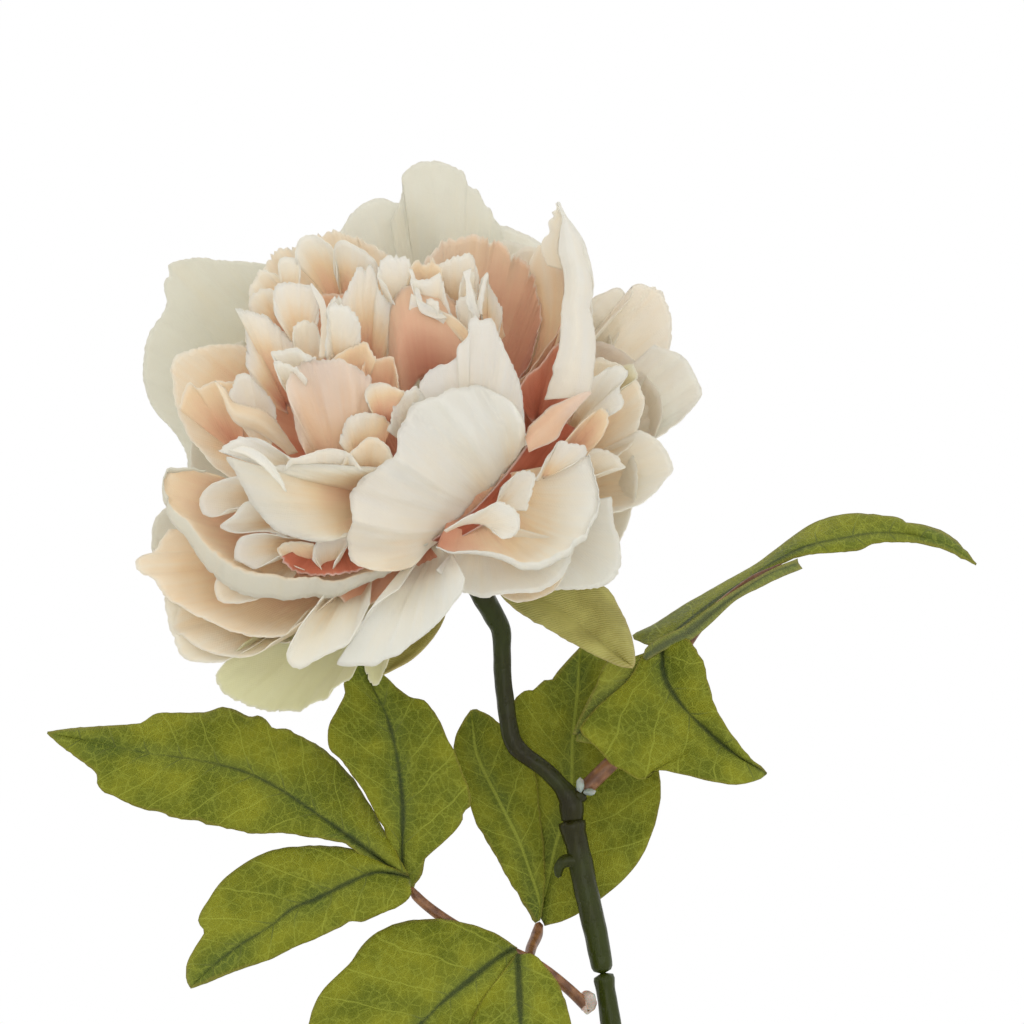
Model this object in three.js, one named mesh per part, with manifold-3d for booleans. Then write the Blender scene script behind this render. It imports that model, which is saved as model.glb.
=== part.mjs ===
// Artificial peony in a bottle-shaped bud vase. Millimetres, +Z up, origin at the centre of the vase's foot.
// The bloom leans to the front left on a wired stem, which stands in the vase and leans on its lip.
import * as THREE from 'three';
import { mergeVertices } from 'three/addons/utils/BufferGeometryUtils.js';
import Module from 'manifold-3d';

const wasm = await Module();
wasm.setup();

const { abs, atan2, cos, hypot, max, min, PI, sin } = Math;
const { degToRad, lerp } = THREE.MathUtils;
const at = ( x, y, z ) => new THREE.Vector3( x, y, z );
const GAP = 0.3;

// Vase: wall and floor thickness, and the radii and heights of its outside.
const VASE = {
	height: 150, footRadius: 27, bellyRadius: 37, bellyHeight: 52, shoulderRadius: 24, shoulderHeight: 92,
	neckRadius: 13, neckHeight: 118, lipRadius: 15, wall: 3.5, floor: 7, mouthRadius: 9, footBevel: 1.5
};

// Stem: one route from under the bloom to the vase's floor, cut at two heights into three lengths. Each lower
// length starts with a collar that takes the end of the one above.
const STEM_RADIUS = 3.1;
const STEM_ROUTE = new THREE.CatmullRomCurve3( [
	at( - 42.2, - 4.2, 295.2 ), at( - 41.2, - 1, 289 ), at( - 37.5, 1, 278 ), at( - 35.2, 2, 266 ),
	at( - 32.6, 2, 255 ), at( - 26.5, 2, 247.6 ), at( - 20.8, 2, 241.5 ), at( - 19.4, 2, 235 ),
	at( - 17.4, 2, 224 ), at( - 14.6, 1.6, 212 ), at( - 12.5, 1, 203 ), at( - 11.6, 0.8, 192 ),
	at( - 5.5, 0, 150 ), at( 5.5, 0, 79 ), at( 16.5, 0, 7.9 )
] );
const STEM_JOINTS = [ 236.4, 203.2 ];
const STEM_STEP = 9;
const COLLAR = { radius: 3.9, length: 8 };
const FORK = { from: at( - 23, 2, 243.4 ), to: at( - 17.6, 2.4, 245.9 ), radius: 2.8 };
const STUB = { from: at( - 18, 2, 226 ), to: at( - 24.2, 1, 228.4 ), radius: 1.6 };

// Stalks of moulded plastic that carry the leaves. Each branch is a tube along its own points.
const STALK_RADIUS = 1.2;
const RIGHT_STALK = [
	[ at( - 16.9, 2.6, 246.4 ), at( - 8, 5, 258 ), at( - 1, 6, 268.5 ), at( 6, 5.4, 277.8 ) ]
];
const SPRAY_STALK = [
	[ at( - 17.3, - 1.5, 197 ), at( - 22.5, - 3.6, 203.5 ), at( - 30, - 4, 208 ), at( - 46, - 3, 214.5 ),
		at( - 54.5, - 3.1, 222.6 ) ],
	[ at( - 28, - 4, 207 ), at( - 28.4, 3, 209.5 ), at( - 27.2, 8.7, 212.4 ), at( - 26.3, 9.9, 216.5 ) ],
	[ at( - 24, - 3.8, 204.8 ), at( - 28, - 6, 206.4 ), at( - 31.2, - 8.2, 207.6 ) ]
];
const GLUE = { centre: at( - 16.4, - 1.4, 197.6 ), size: at( 3.2, 3.4, 4.6 ) };

// Leaves: the lobes of a leaf start from its base. Each runs over its middle to its tip, wide is its greatest
// width, and its upper side faces along face.
const LEAF_THICKNESS = 0.7;
const LEAVES = {
	leaf_left: { base: at( - 54, - 5, 223 ), lobes: [
		{ middle: at( - 91, - 9, 246.5 ), tip: at( - 135, - 10, 255 ), wide: 28, face: at( 0.1, - 0.8, 0.6 ) },
		{ middle: at( - 57.5, - 3, 247 ), tip: at( - 66, 2, 271 ), wide: 26, face: at( 0, - 1, 0.15 ) },
		{ middle: at( - 78.5, - 13, 219.5 ), tip: at( - 104, - 20, 202 ), wide: 26, face: at( - 0.2, - 0.7, 0.7 ) }
	] },
	leaf_back: { base: at( - 26.5, 7.6, 215 ), lobes: [
		{ middle: at( - 33, 10, 238 ), tip: at( - 41, 12, 262 ), wide: 16, face: at( - 0.1, - 1, 0.1 ) },
		{ middle: at( - 17.5, 13, 243 ), tip: at( - 15, 18, 277 ), wide: 33, face: at( 0.1, - 1, 0.2 ) }
	] },
	leaf_front: { base: at( - 31, - 9.5, 209 ), lobes: [
		{ middle: at( - 57, - 19, 198 ), tip: at( - 80, - 26, 172 ), wide: 29, face: at( - 0.2, - 0.7, 0.7 ) },
		{ middle: at( - 30, - 21, 190 ), tip: at( - 27, - 25, 165 ), wide: 27, face: at( 0.1, - 0.9, 0.5 ) }
	] },
	leaf_right: { base: at( 8, 4, 281.2 ), lobes: [
		{ middle: at( 31, 7, 297 ), tip: at( 69.5, 2, 293.5 ), wide: 25, face: at( - 0.25, - 0.25, 1 ) },
		{ middle: at( 1.5, - 1, 261 ), tip: at( 23, - 6, 247.5 ), wide: 28, face: at( 0, - 1, 0.25 ) },
		{ middle: at( - 6.5, 1.5, 267 ), tip: at( - 18.5, - 1, 256.5 ), wide: 15, face: at( 0, - 1, 0.2 ) }
	] }
};

// Bloom: petals grow from one hub. Angles are in degrees: around is counted from the photo's right through
// the top, open from the bloom's own axis. reach is the length from hub to tip, wide the flat width, bend the
// turn of the spine from root to tip, cup the turn across one half, lean the turn about the line from hub to
// tip, and lift the height of the root above the hub's centre.
const HUB = at( - 45.4, - 16, 305.4 );
const AXIS = at( - 0.20, - 0.75, 0.63 ).normalize();
const RIGHT = at( 1, 0, 0 ).addScaledVector( AXIS, - AXIS.x ).normalize();
const UP = AXIS.clone().cross( RIGHT );
const PETAL_THICKNESS = 0.7;
const PETAL_WIDEST = 0.68;
const PETAL_CLAW = 0.22;
const PETAL_TAPER = 0.25;
const HUB_SIZE = { radius: 17, below: 6, above: 32 };
const WHORLS = {
	guard: { cells: [ 4, 3 ], bend: 45, cup: 45, lift: 0, petals: [
		{ around: 88, open: 67, reach: 79, wide: 60 },
		{ around: 103, open: 71, reach: 72, wide: 58 },
		{ around: 74, open: 78, reach: 67, wide: 50 },
		{ around: 137, open: 68, reach: 80, wide: 68 },
		{ around: 155, open: 70, reach: 72, wide: 60 },
		{ around: 199, open: 72, reach: 69, wide: 46, bend: 25, cup: 30 },
		{ around: 221, open: 64, reach: 71, wide: 64, bend: 30, cup: 40 },
		{ around: 226, open: 72, reach: 71, wide: 48, bend: 30, cup: 40 },
		{ around: 237, open: 81, reach: 67, wide: 40, bend: 30, cup: 35 },
		{ around: 254, open: 70, reach: 60, wide: 34, bend: 40, cup: 30 },
		{ around: 292, open: 67, reach: 47, wide: 46, bend: 30, cup: 40 },
		{ around: 317, open: 73, reach: 49, wide: 44, bend: 35, cup: 40 },
		{ around: 343, open: 70, reach: 53, wide: 42, bend: 40 },
		{ around: 12, open: 75, reach: 58, wide: 42, bend: 40 },
		{ around: 38, open: 72, reach: 64, wide: 40 },
		{ around: 47, open: 72, reach: 58, wide: 36 }
	] },
	bowl: { cells: [ 4, 4 ], bend: 70, cup: 60, lift: 3, petals: [
		{ around: 41, open: 39, reach: 73, wide: 34, lean: 50 },
		{ around: 56, open: 52, reach: 59, wide: 44, bend: 50 },
		{ around: 68, open: 46, reach: 58, wide: 60, cup: 80 },
		{ around: 121, open: 45, reach: 67, wide: 70, cup: 80 },
		{ around: 167, open: 50, reach: 66, wide: 48 },
		{ around: 218, open: 54, reach: 66, wide: 80, bend: 80 },
		{ around: 259, open: 61, reach: 45, wide: 56, bend: 60, cup: 55 },
		{ around: 306, open: 19, reach: 56, wide: 54, bend: 130, lean: - 30 },
		{ around: 4, open: 18, reach: 59, wide: 44 },
		{ around: 223, open: 36, reach: 62, wide: 58, bend: 90, lean: 10 }
	] },
	heart: { cells: [ 3, 3 ], bend: 40, cup: 60, lift: 7, petals: [
		{ around: 203, open: 12, reach: 61, wide: 46, bend: 50, cup: 45 },
		{ around: 60, open: 11, reach: 56, wide: 40, bend: 70 },
		{ around: 111, open: 22, reach: 61, wide: 30 },
		{ around: 156, open: 35, reach: 67, wide: 36 },
		{ around: 111, open: 26, reach: 65, wide: 26 },
		{ around: 146, open: 24, reach: 67, wide: 26 },
		{ around: 89, open: 20, reach: 62, wide: 22 },
		{ around: 70, open: 21, reach: 60, wide: 22 },
		{ around: 50, open: 26, reach: 61, wide: 24 },
		{ around: 235, open: 5, reach: 54, wide: 26 },
		{ around: 255, open: 21, reach: 54, wide: 20 },
		{ around: 178, open: 37, reach: 62, wide: 34 },
		{ around: 317, open: 47, reach: 44, wide: 22, bend: 20, cup: 30 },
		{ around: 336, open: 51, reach: 48, wide: 22, bend: 20, cup: 30 },
		{ around: 2, open: 53, reach: 57, wide: 34 },
		{ around: 319, open: 64, reach: 47, wide: 56, bend: 50, cup: 50 },
		{ around: 354, open: 60, reach: 49, wide: 42 }
	] }
};

// Calyx: a small cup under the hub with five sepals that bend back from the petals.
const CALYX = { radius: 8, top: - 6.4, bottom: - 14.3, stemRadius: 4.2, thickness: 0.8 };
const SEPALS = { around: [ 96, 168, 240, 309, 24 ], open: 102, wide: 26, reach: [ 34, 34, 38, 60, 34 ] };

const COLOURS = {
	vase: '#e9e6df', stem: '#2c3a20', stalk: '#6b4638', glue: '#e8e8e4', leaf: '#76852f', petal: '#ecd9c4',
	calyx: '#8f9446'
};

function smooth( value ) {

	const x = min( 1, max( 0, value ) );
	return x * x * ( 3 - 2 * x );

}

// A closed geometry as a solid that can be joined and cut.
function solidOf( geometry ) {

	const bare = geometry.index ? geometry.toNonIndexed() : geometry.clone();
	bare.deleteAttribute( 'normal' );
	bare.deleteAttribute( 'uv' );
	const merged = mergeVertices( bare, 1e-4 );
	return new wasm.Manifold( new wasm.Mesh( {
		numProp: 3,
		vertProperties: new Float32Array( merged.attributes.position.array ),
		triVerts: new Uint32Array( merged.index.array )
	} ) );

}

// The outer skin of a joined solid: loose scraps are dropped and hollows that the joining sealed are filled.
function geometryOf( solid ) {

	const { vertProperties, triVerts } = solid.getMesh();
	const parent = Array.from( { length: vertProperties.length / 3 }, ( _, i ) => i );
	const rootOf = ( i ) => {

		while ( parent[ i ] !== i ) i = parent[ i ] = parent[ parent[ i ] ];
		return i;

	};

	for ( let t = 0; t < triVerts.length; t += 3 ) {

		parent[ rootOf( triVerts[ t ] ) ] = rootOf( triVerts[ t + 1 ] );
		parent[ rootOf( triVerts[ t + 1 ] ) ] = rootOf( triVerts[ t + 2 ] );

	}

	const volumes = new Map();
	const corner = ( i ) => new THREE.Vector3().fromArray( vertProperties, 3 * i );
	for ( let t = 0; t < triVerts.length; t += 3 ) {

		const [ a, b, c ] = [ 0, 1, 2 ].map( ( k ) => corner( triVerts[ t + k ] ) );
		const root = rootOf( triVerts[ t ] );
		volumes.set( root, ( volumes.get( root ) || 0 ) + a.dot( b.cross( c ) ) );

	}

	const main = [ ...volumes ].sort( ( a, b ) => b[ 1 ] - a[ 1 ] )[ 0 ][ 0 ];
	const geometry = new THREE.BufferGeometry();
	geometry.setAttribute( 'position', new THREE.BufferAttribute( new Float32Array( vertProperties ), 3 ) );
	const kept = [];
	for ( let t = 0; t < triVerts.length; t += 3 ) {

		if ( rootOf( triVerts[ t ] ) === main ) kept.push( triVerts[ t ], triVerts[ t + 1 ], triVerts[ t + 2 ] );

	}

	geometry.setIndex( kept );
	const skin = geometry.toNonIndexed();
	skin.computeVertexNormals();
	return skin;

}

function join( geometries ) {

	return wasm.Manifold.union( geometries.map( solidOf ) );

}

function tube( extrudePath, radius, sides, steps ) {

	const section = new THREE.Shape().absarc( 0, 0, radius, 0, 2 * PI );
	return new THREE.ExtrudeGeometry( section, { steps, extrudePath, curveSegments: sides / 2 } );

}

// A blade: one grid of points, given by place( s, t ), with a front and a back face that are split alike.
function blade( across, along, thickness, place ) {

	const row = across + 1;
	const points = [];
	for ( let j = 0; j <= along; j ++ ) {

		for ( let i = 0; i <= across; i ++ ) points.push( place( 2 * i / across - 1, j / along ) );

	}

	const point = ( i, j ) => points[ min( along, max( 0, j ) ) * row + min( across, max( 0, i ) ) ];
	const positions = [];
	for ( const side of [ 0.5, - 0.5 ] ) {

		for ( let j = 0; j <= along; j ++ ) {

			for ( let i = 0; i <= across; i ++ ) {

				const u = point( i + 1, j ).clone().sub( point( i - 1, j ) );
				const v = point( i, j + 1 ).clone().sub( point( i, j - 1 ) );
				const normal = u.cross( v ).normalize();
				positions.push( ...point( i, j ).clone().addScaledVector( normal, side * thickness ).toArray() );

			}

		}

	}

	const back = row * ( along + 1 );
	const index = [];
	const quad = ( a, b, c, d ) => index.push( a, b, c, a, c, d );
	for ( let j = 0; j < along; j ++ ) {

		for ( let i = 0; i < across; i ++ ) {

			const a = j * row + i;
			quad( a, a + 1, a + row + 1, a + row );
			index.push( back + a, back + a + row + 1, back + a + 1, back + a, back + a + row, back + a + row + 1 );

		}

	}

	const last = along * row;
	for ( let i = 0; i < across; i ++ ) {

		quad( i + 1, i, back + i, back + i + 1 );
		quad( last + i, last + i + 1, back + last + i + 1, back + last + i );

	}

	for ( let j = 0; j < along; j ++ ) {

		const [ a, b ] = [ j * row, j * row + across ];
		quad( a, a + row, back + a + row, back + a );
		quad( b + row, b, back + b, back + b + row );

	}

	const geometry = new THREE.BufferGeometry();
	geometry.setAttribute( 'position', new THREE.Float32BufferAttribute( positions, 3 ) );
	geometry.setIndex( index );
	return geometry;

}

function vaseGeometry() {

	const v = VASE;
	const outside = new THREE.SplineCurve( [
		new THREE.Vector2( v.footRadius, v.footBevel ),
		new THREE.Vector2( v.bellyRadius, v.bellyHeight ),
		new THREE.Vector2( v.shoulderRadius, v.shoulderHeight ),
		new THREE.Vector2( v.neckRadius, v.neckHeight ),
		new THREE.Vector2( v.neckRadius, v.height - 12 ),
		new THREE.Vector2( v.lipRadius, v.height - 2 )
	] ).getPoints( 15 );
	const inside = new THREE.SplineCurve( [
		new THREE.Vector2( v.mouthRadius, v.height - 1 ),
		new THREE.Vector2( v.mouthRadius, v.neckHeight ),
		new THREE.Vector2( v.shoulderRadius - v.wall, v.shoulderHeight - 2 ),
		new THREE.Vector2( v.bellyRadius - v.wall, v.bellyHeight ),
		new THREE.Vector2( v.footRadius - v.wall, v.floor )
	] ).getPoints( 9 );
	const profile = [
		new THREE.Vector2( 0, 0 ), new THREE.Vector2( v.footRadius - v.footBevel, 0 ), ...outside,
		new THREE.Vector2( v.lipRadius - 1.5, v.height ), new THREE.Vector2( v.mouthRadius + 1, v.height ),
		...inside, new THREE.Vector2( 0, v.floor )
	];
	return new THREE.LatheGeometry( profile, 24 ).rotateX( PI / 2 );

}

function petalPlace( petal ) {

	const steps = 40;
	const angles = [];
	const spine = [ [ 0, 0 ] ];
	for ( let i = 0; i < steps; i ++ ) {

		const angle = degToRad( petal.bend ) * ( 0.5 - ( i + 0.5 ) / steps );
		angles.push( angle );
		spine.push( [ spine[ i ][ 0 ] + sin( angle ), spine[ i ][ 1 ] + cos( angle ) ] );

	}

	const [ endX, endZ ] = spine[ steps ];
	const scale = petal.reach / hypot( endX, endZ );
	const turn = degToRad( petal.open ) - atan2( endX, endZ );
	const outward = RIGHT.clone().multiplyScalar( cos( degToRad( petal.around ) ) )
		.addScaledVector( UP, sin( degToRad( petal.around ) ) );
	const across = RIGHT.clone().multiplyScalar( - sin( degToRad( petal.around ) ) )
		.addScaledVector( UP, cos( degToRad( petal.around ) ) );
	const chord = outward.clone().multiplyScalar( sin( degToRad( petal.open ) ) )
		.addScaledVector( AXIS, cos( degToRad( petal.open ) ) );

	return ( s, t0 ) => {

		const t = t0 * ( 1 - petal.round * abs( s ) ** petal.blunt );
		const f = t * steps;
		const i = min( steps - 1, Math.floor( f ) );
		const x = lerp( spine[ i ][ 0 ], spine[ i + 1 ][ 0 ], f - i );
		const z = lerp( spine[ i ][ 1 ], spine[ i + 1 ][ 1 ], f - i );
		const angle = angles[ i ] + turn;
		const normal = outward.clone().multiplyScalar( - cos( angle ) ).addScaledVector( AXIS, sin( angle ) );
		const tipShare = max( 0, t - PETAL_WIDEST ) / ( 1 - PETAL_WIDEST );
		const wide = lerp( PETAL_CLAW, 1, smooth( t / PETAL_WIDEST ) ** 0.9 ) - PETAL_TAPER * tipShare ** 2;
		const cup = degToRad( petal.cup ) * ( 0.4 + 0.6 * smooth( t / 0.5 ) ) * abs( s ) + 1e-6;
		const half = petal.wide / 2 * wide;
		return new THREE.Vector3()
			.addScaledVector( outward, scale * ( x * cos( turn ) + z * sin( turn ) ) )
			.addScaledVector( AXIS, scale * ( z * cos( turn ) - x * sin( turn ) ) )
			.addScaledVector( across, half * s * sin( cup ) / cup )
			.addScaledVector( normal, half * abs( s ) * ( 1 - cos( cup ) ) / cup )
			.applyAxisAngle( chord, degToRad( petal.lean ) )
			.add( HUB ).addScaledVector( AXIS, petal.lift );

	};

}

// A solid turned about the bloom's axis, from points of radius and height above the hub's centre.
function turned( profile, sides ) {

	const geometry = new THREE.LatheGeometry( profile.map( ( p ) => new THREE.Vector2( ...p ) ), sides );
	const turn = new THREE.Quaternion().setFromUnitVectors( at( 0, 1, 0 ), AXIS );
	return geometry.applyQuaternion( turn ).translate( HUB.x, HUB.y, HUB.z );

}

function hubGeometry() {

	const { radius, below, above } = HUB_SIZE;
	const middle = ( above - below ) / 2;
	const tall = ( above + below ) / 2;
	const profile = [];
	for ( let i = 0; i <= 8; i ++ ) {

		const angle = PI * ( i / 8 - 0.5 );
		profile.push( [ radius * cos( angle ), middle + tall * sin( angle ) ] );

	}

	profile[ 0 ][ 0 ] = profile[ 8 ][ 0 ] = 0;
	return turned( profile, 12 );

}

function bloomGeometry() {

	const petals = [];
	for ( const { cells, petals: rows, ...shared } of Object.values( WHORLS ) ) {

		rows.forEach( ( row, i ) => {

			const petal = { round: 0.35, blunt: 3, lean: 0, ...shared, ...row };
			petal.lift += ( i % 3 ) * 1.2;
			petals.push( blade( ...cells, PETAL_THICKNESS, petalPlace( petal ) ) );

		} );

	}

	return geometryOf( join( [ hubGeometry(), ...petals ] ) );

}

function calyxGeometry() {

	const { radius, top, bottom, stemRadius, thickness } = CALYX;
	const outline = [ [ 0, bottom ], [ stemRadius, bottom ], [ radius, top - 2 ], [ radius, top ], [ 0, top ] ];
	const cup = turned( outline, 12 );
	const sepals = SEPALS.around.map( ( around, i ) => blade( 3, 4, thickness, petalPlace( {
		around, open: SEPALS.open, reach: SEPALS.reach[ i ], wide: SEPALS.wide, bend: - 20, cup: 20, lean: 0,
		round: 0.75, blunt: 1.5, lift: top - thickness
	} ) ) );
	return geometryOf( join( [ cup, ...sepals ] ) );

}

// One lobe of a leaf: pointed at its tip, folded along its midrib, and narrow where it meets the others.
function lobeGeometry( base, { middle, tip, wide, face } ) {

	const control = middle.clone().multiplyScalar( 2 ).addScaledVector( base, - 0.5 )
		.addScaledVector( tip, - 0.5 );
	const spine = new THREE.QuadraticBezierCurve3( base, control, tip );
	return blade( 4, 6, LEAF_THICKNESS, ( s, t ) => {

		const along = spine.getTangent( t );
		const across = along.clone().cross( face ).normalize();
		const up = across.clone().cross( along );
		const half = wide / 2 * sin( PI * t ** 0.75 ) ** 0.8 + 2.6 * ( 1 - t ) ** 4 + 0.5;
		const fold = 0.16 * abs( s ) * half;
		return spine.getPoint( t ).addScaledVector( across, s * half ).addScaledVector( up, fold );

	} );

}

function leafGeometry( { base, lobes } ) {

	return geometryOf( join( lobes.map( ( lobe ) => lobeGeometry( base, lobe ) ) ) );

}

// Where the stem's route passes a height, as a share of the route's length.
function stemShare( height ) {

	let [ upper, lower ] = [ 0, 1 ];
	for ( let i = 0; i < 30; i ++ ) {

		const middle = ( upper + lower ) / 2;
		if ( STEM_ROUTE.getPointAt( middle ).z > height ) upper = middle;
		else lower = middle;

	}

	return upper;

}

// The stretch of the stem's route between two shares of its length.
class Stretch extends THREE.Curve {

	constructor( from, to ) {

		super();
		this.from = from;
		this.to = to;

	}

	getPoint( t ) {

		return STEM_ROUTE.getPointAt( this.from + ( this.to - this.from ) * t );

	}

}

function stemTube( from, to, radius ) {

	const steps = max( 2, Math.round( ( to - from ) * STEM_ROUTE.getLength() / STEM_STEP ) );
	return tube( new Stretch( from, to ), radius, 10, steps );

}

function nub( { from, to, radius } ) {

	return tube( new THREE.LineCurve3( from, to ), radius, 8, 1 );

}

function stemGeometry( from, to, ...extras ) {

	const collar = COLLAR.length / STEM_ROUTE.getLength();
	const pieces = [ stemTube( from, to, STEM_RADIUS ), ...extras ];
	if ( from > 0 ) pieces.push( stemTube( from, from + collar, COLLAR.radius ) );
	return geometryOf( join( pieces ) );

}

function stalkTube( points, radius ) {

	return tube( new THREE.CatmullRomCurve3( points ), radius, 6, 2 * points.length );

}

function stalkGeometry( branches ) {

	return geometryOf( join( branches.map( ( points ) => stalkTube( points, STALK_RADIUS ) ) ) );

}

// A bead of glue, hollowed for the stem and for the start of the stalk that it holds on.
function glueGeometry( { centre, size }, branches ) {

	const bead = new THREE.IcosahedronGeometry( 1, 2 ).scale( ...size.toArray() )
		.translate( ...centre.toArray() );
	const room = STALK_RADIUS + 2 * GAP;
	const stalkEnd = new THREE.IcosahedronGeometry( room, 1 ).translate( ...branches[ 0 ][ 0 ].toArray() );
	const stalks = branches.map( ( points ) => stalkTube( points, room ) );
	const held = join( [ stemTube( 0, 1, COLLAR.radius + 2 * GAP ), stalkEnd, ...stalks ] );
	return geometryOf( solidOf( bead ).subtract( held ) );

}

function add( name, geometry, colour, roughness ) {

	const mesh = new THREE.Mesh( geometry, new THREE.MeshStandardMaterial( { color: colour, roughness } ) );
	mesh.name = name;
	group.add( mesh );

}

const group = new THREE.Group();

add( 'vase', vaseGeometry(), COLOURS.vase, 0.25 );
const gapShare = GAP * 1.5 / STEM_ROUTE.getLength();
const [ upperEnd, middleEnd ] = STEM_JOINTS.map( stemShare );
add( 'stem_upper', stemGeometry( 0, upperEnd, nub( FORK ) ), COLOURS.stem, 0.6 );
add( 'stem_middle', stemGeometry( upperEnd + gapShare, middleEnd, nub( STUB ) ),
	COLOURS.stem, 0.6 );
add( 'stem_lower', stemGeometry( middleEnd + gapShare, 1 ), COLOURS.stem, 0.6 );
add( 'stalk_right', stalkGeometry( RIGHT_STALK ), COLOURS.stalk, 0.55 );
add( 'stalk_spray', stalkGeometry( SPRAY_STALK ), COLOURS.stalk, 0.55 );
for ( const [ name, leaf ] of Object.entries( LEAVES ) ) add( name, leafGeometry( leaf ), COLOURS.leaf, 0.8 );
add( 'glue', glueGeometry( GLUE, SPRAY_STALK ), COLOURS.glue, 0.3 );
add( 'calyx', calyxGeometry(), COLOURS.calyx, 0.85 );
add( 'bloom', bloomGeometry(), COLOURS.petal, 0.9 );

export default group;
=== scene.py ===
from math import cos, pi, radians, sin

import bmesh
import bpy
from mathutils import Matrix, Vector, noise


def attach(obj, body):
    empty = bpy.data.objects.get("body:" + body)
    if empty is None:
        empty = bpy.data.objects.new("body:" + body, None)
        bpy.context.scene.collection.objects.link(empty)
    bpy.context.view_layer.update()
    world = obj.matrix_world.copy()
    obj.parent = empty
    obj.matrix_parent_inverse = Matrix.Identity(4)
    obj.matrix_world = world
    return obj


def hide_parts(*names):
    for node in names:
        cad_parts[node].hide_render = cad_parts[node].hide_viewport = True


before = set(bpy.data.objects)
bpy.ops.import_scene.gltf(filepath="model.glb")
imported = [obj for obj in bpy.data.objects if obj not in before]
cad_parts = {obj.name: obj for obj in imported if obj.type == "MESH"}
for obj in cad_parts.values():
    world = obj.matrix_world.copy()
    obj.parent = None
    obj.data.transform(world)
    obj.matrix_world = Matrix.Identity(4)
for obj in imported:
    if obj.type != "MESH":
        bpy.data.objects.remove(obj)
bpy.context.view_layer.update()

# Camera, floor and light --------------------------------------------------------------------------
# The camera is level with the bloom and 1.1 m in front of the vase's axis, as in the photograph. A round
# pale floor lies in a white room, with large soft lamps on the left, on the right, in front and above.

MM = 0.001
EYE = Vector((-33, -1100, 305))
LENS = 175.8
FLOOR_RADIUS = 1.5
BLOOM_SPOT = (-0.04, 0, 0.3)
LAMPS = (
    ("lamp_left", (-1.5, -1.3, 1.6), BLOOM_SPOT, 1.5, 6),
    ("lamp_right", (1.7, -1.0, 1.1), BLOOM_SPOT, 1.4, 3),
    ("lamp_front", (0.2, -2.0, 0.2), BLOOM_SPOT, 1.2, 6.5),
    ("lamp_top", (0, 0.2, 2.2), (0, 0, 0.3), 1.8, 2.5))

camera_data = bpy.data.cameras.new("camera")
camera_data.lens = LENS
camera_data.sensor_width = 36
camera_data.clip_end = 20
camera = bpy.data.objects.new("camera", camera_data)
camera.location = EYE * MM
camera.rotation_euler = (radians(90), 0, 0)
bpy.context.scene.collection.objects.link(camera)
bpy.context.scene.camera = camera

floor = bmesh.new()
bmesh.ops.create_circle(floor, cap_ends=True, segments=160, radius=FLOOR_RADIUS)
floor_mesh = bpy.data.meshes.new("floor")
floor.to_mesh(floor_mesh)
floor.free()
paper = bpy.data.materials.new("paper")
paper.use_nodes = True
paper.node_tree.nodes["Principled BSDF"].inputs["Base Color"].default_value = (0.8, 0.8, 0.79, 1)
paper.node_tree.nodes["Principled BSDF"].inputs["Roughness"].default_value = 0.9
floor_mesh.materials.append(paper)
floor_piece = bpy.data.objects.new("floor", floor_mesh)
bpy.context.scene.collection.objects.link(floor_piece)

for name, spot, aim, size, power in LAMPS:
    lamp_data = bpy.data.lights.new(name, "AREA")
    lamp_data.size = size
    lamp_data.energy = power
    lamp = bpy.data.objects.new(name, lamp_data)
    lamp.location = spot
    lamp.rotation_euler = (Vector(aim) - Vector(spot)).to_track_quat("-Z", "Y").to_euler()
    bpy.context.scene.collection.objects.link(lamp)

world = bpy.data.worlds.new("room")
world.use_nodes = True
world.node_tree.nodes["Background"].inputs["Color"].default_value = (1, 1, 1, 1)
world.node_tree.nodes["Background"].inputs["Strength"].default_value = 1.0
bpy.context.scene.world = world
bpy.context.scene.view_settings.view_transform = "Standard"

# Vase ---------------------------------------------------------------------------------------------
# A wheel-thrown stoneware bud vase under an off-white gloss glaze, which the photograph's lower edge
# hides. It is spun from one profile, outside and inside, and stands on an unglazed foot.

VASE_FOOT = [(0, 0), (21, 0), (22, 0.8), (24.4, 0.8), (25.5, 0)]
VASE_OUTSIDE = [(27, 1.5), (37, 52), (24, 92), (13, 118), (13, 138), (15, 148)]
VASE_LIP = [(14.7, 149.3), (13.6, 150), (11.4, 150), (9.6, 149.4)]
VASE_INSIDE = [(9, 148), (9, 118), (20.5, 90), (33.5, 52), (23.5, 7)]
VASE_FLOOR = (0, 7)
VASE_TURNS = 96
CURVE_STEPS = 12


def line_through(points, count, curve=1.0):
    """count + 1 evenly spaced points on a line through the given ones, with straight pieces if curve is 0."""
    knots = [Vector(p) for p in points]
    knots = [2 * knots[0] - knots[1], *knots, 2 * knots[-1] - knots[-2]]
    fine = []
    for a, b, c, d in zip(knots, knots[1:], knots[2:], knots[3:]):
        spans = [max((q - p).length, 1e-6) ** 0.5 for p, q in ((a, b), (b, c), (c, d))]
        leave = ((b - a) / spans[0] - (c - a) / (spans[0] + spans[1])) * spans[1] + (c - b)
        reach = ((d - c) / spans[2] - (d - b) / (spans[1] + spans[2])) * spans[1] + (c - b)
        leave *= curve
        reach *= curve
        for i in range(CURVE_STEPS):
            t = i / CURVE_STEPS
            fine.append(b * (2 * t**3 - 3 * t**2 + 1) + c * (3 * t**2 - 2 * t**3)
                        + leave * (t**3 - 2 * t**2 + t) + reach * (t**3 - t**2))
    fine.append(knots[-2])
    so_far = [0.0]
    for p, q in zip(fine, fine[1:]):
        so_far.append(so_far[-1] + (q - p).length)
    even = []
    spot = 0
    for i in range(count + 1):
        wanted = so_far[-1] * i / count
        while spot < len(fine) - 2 and so_far[spot + 1] < wanted:
            spot += 1
        share = (wanted - so_far[spot]) / max(so_far[spot + 1] - so_far[spot], 1e-9)
        even.append(fine[spot].lerp(fine[spot + 1], min(1.0, share)))
    return even


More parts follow.
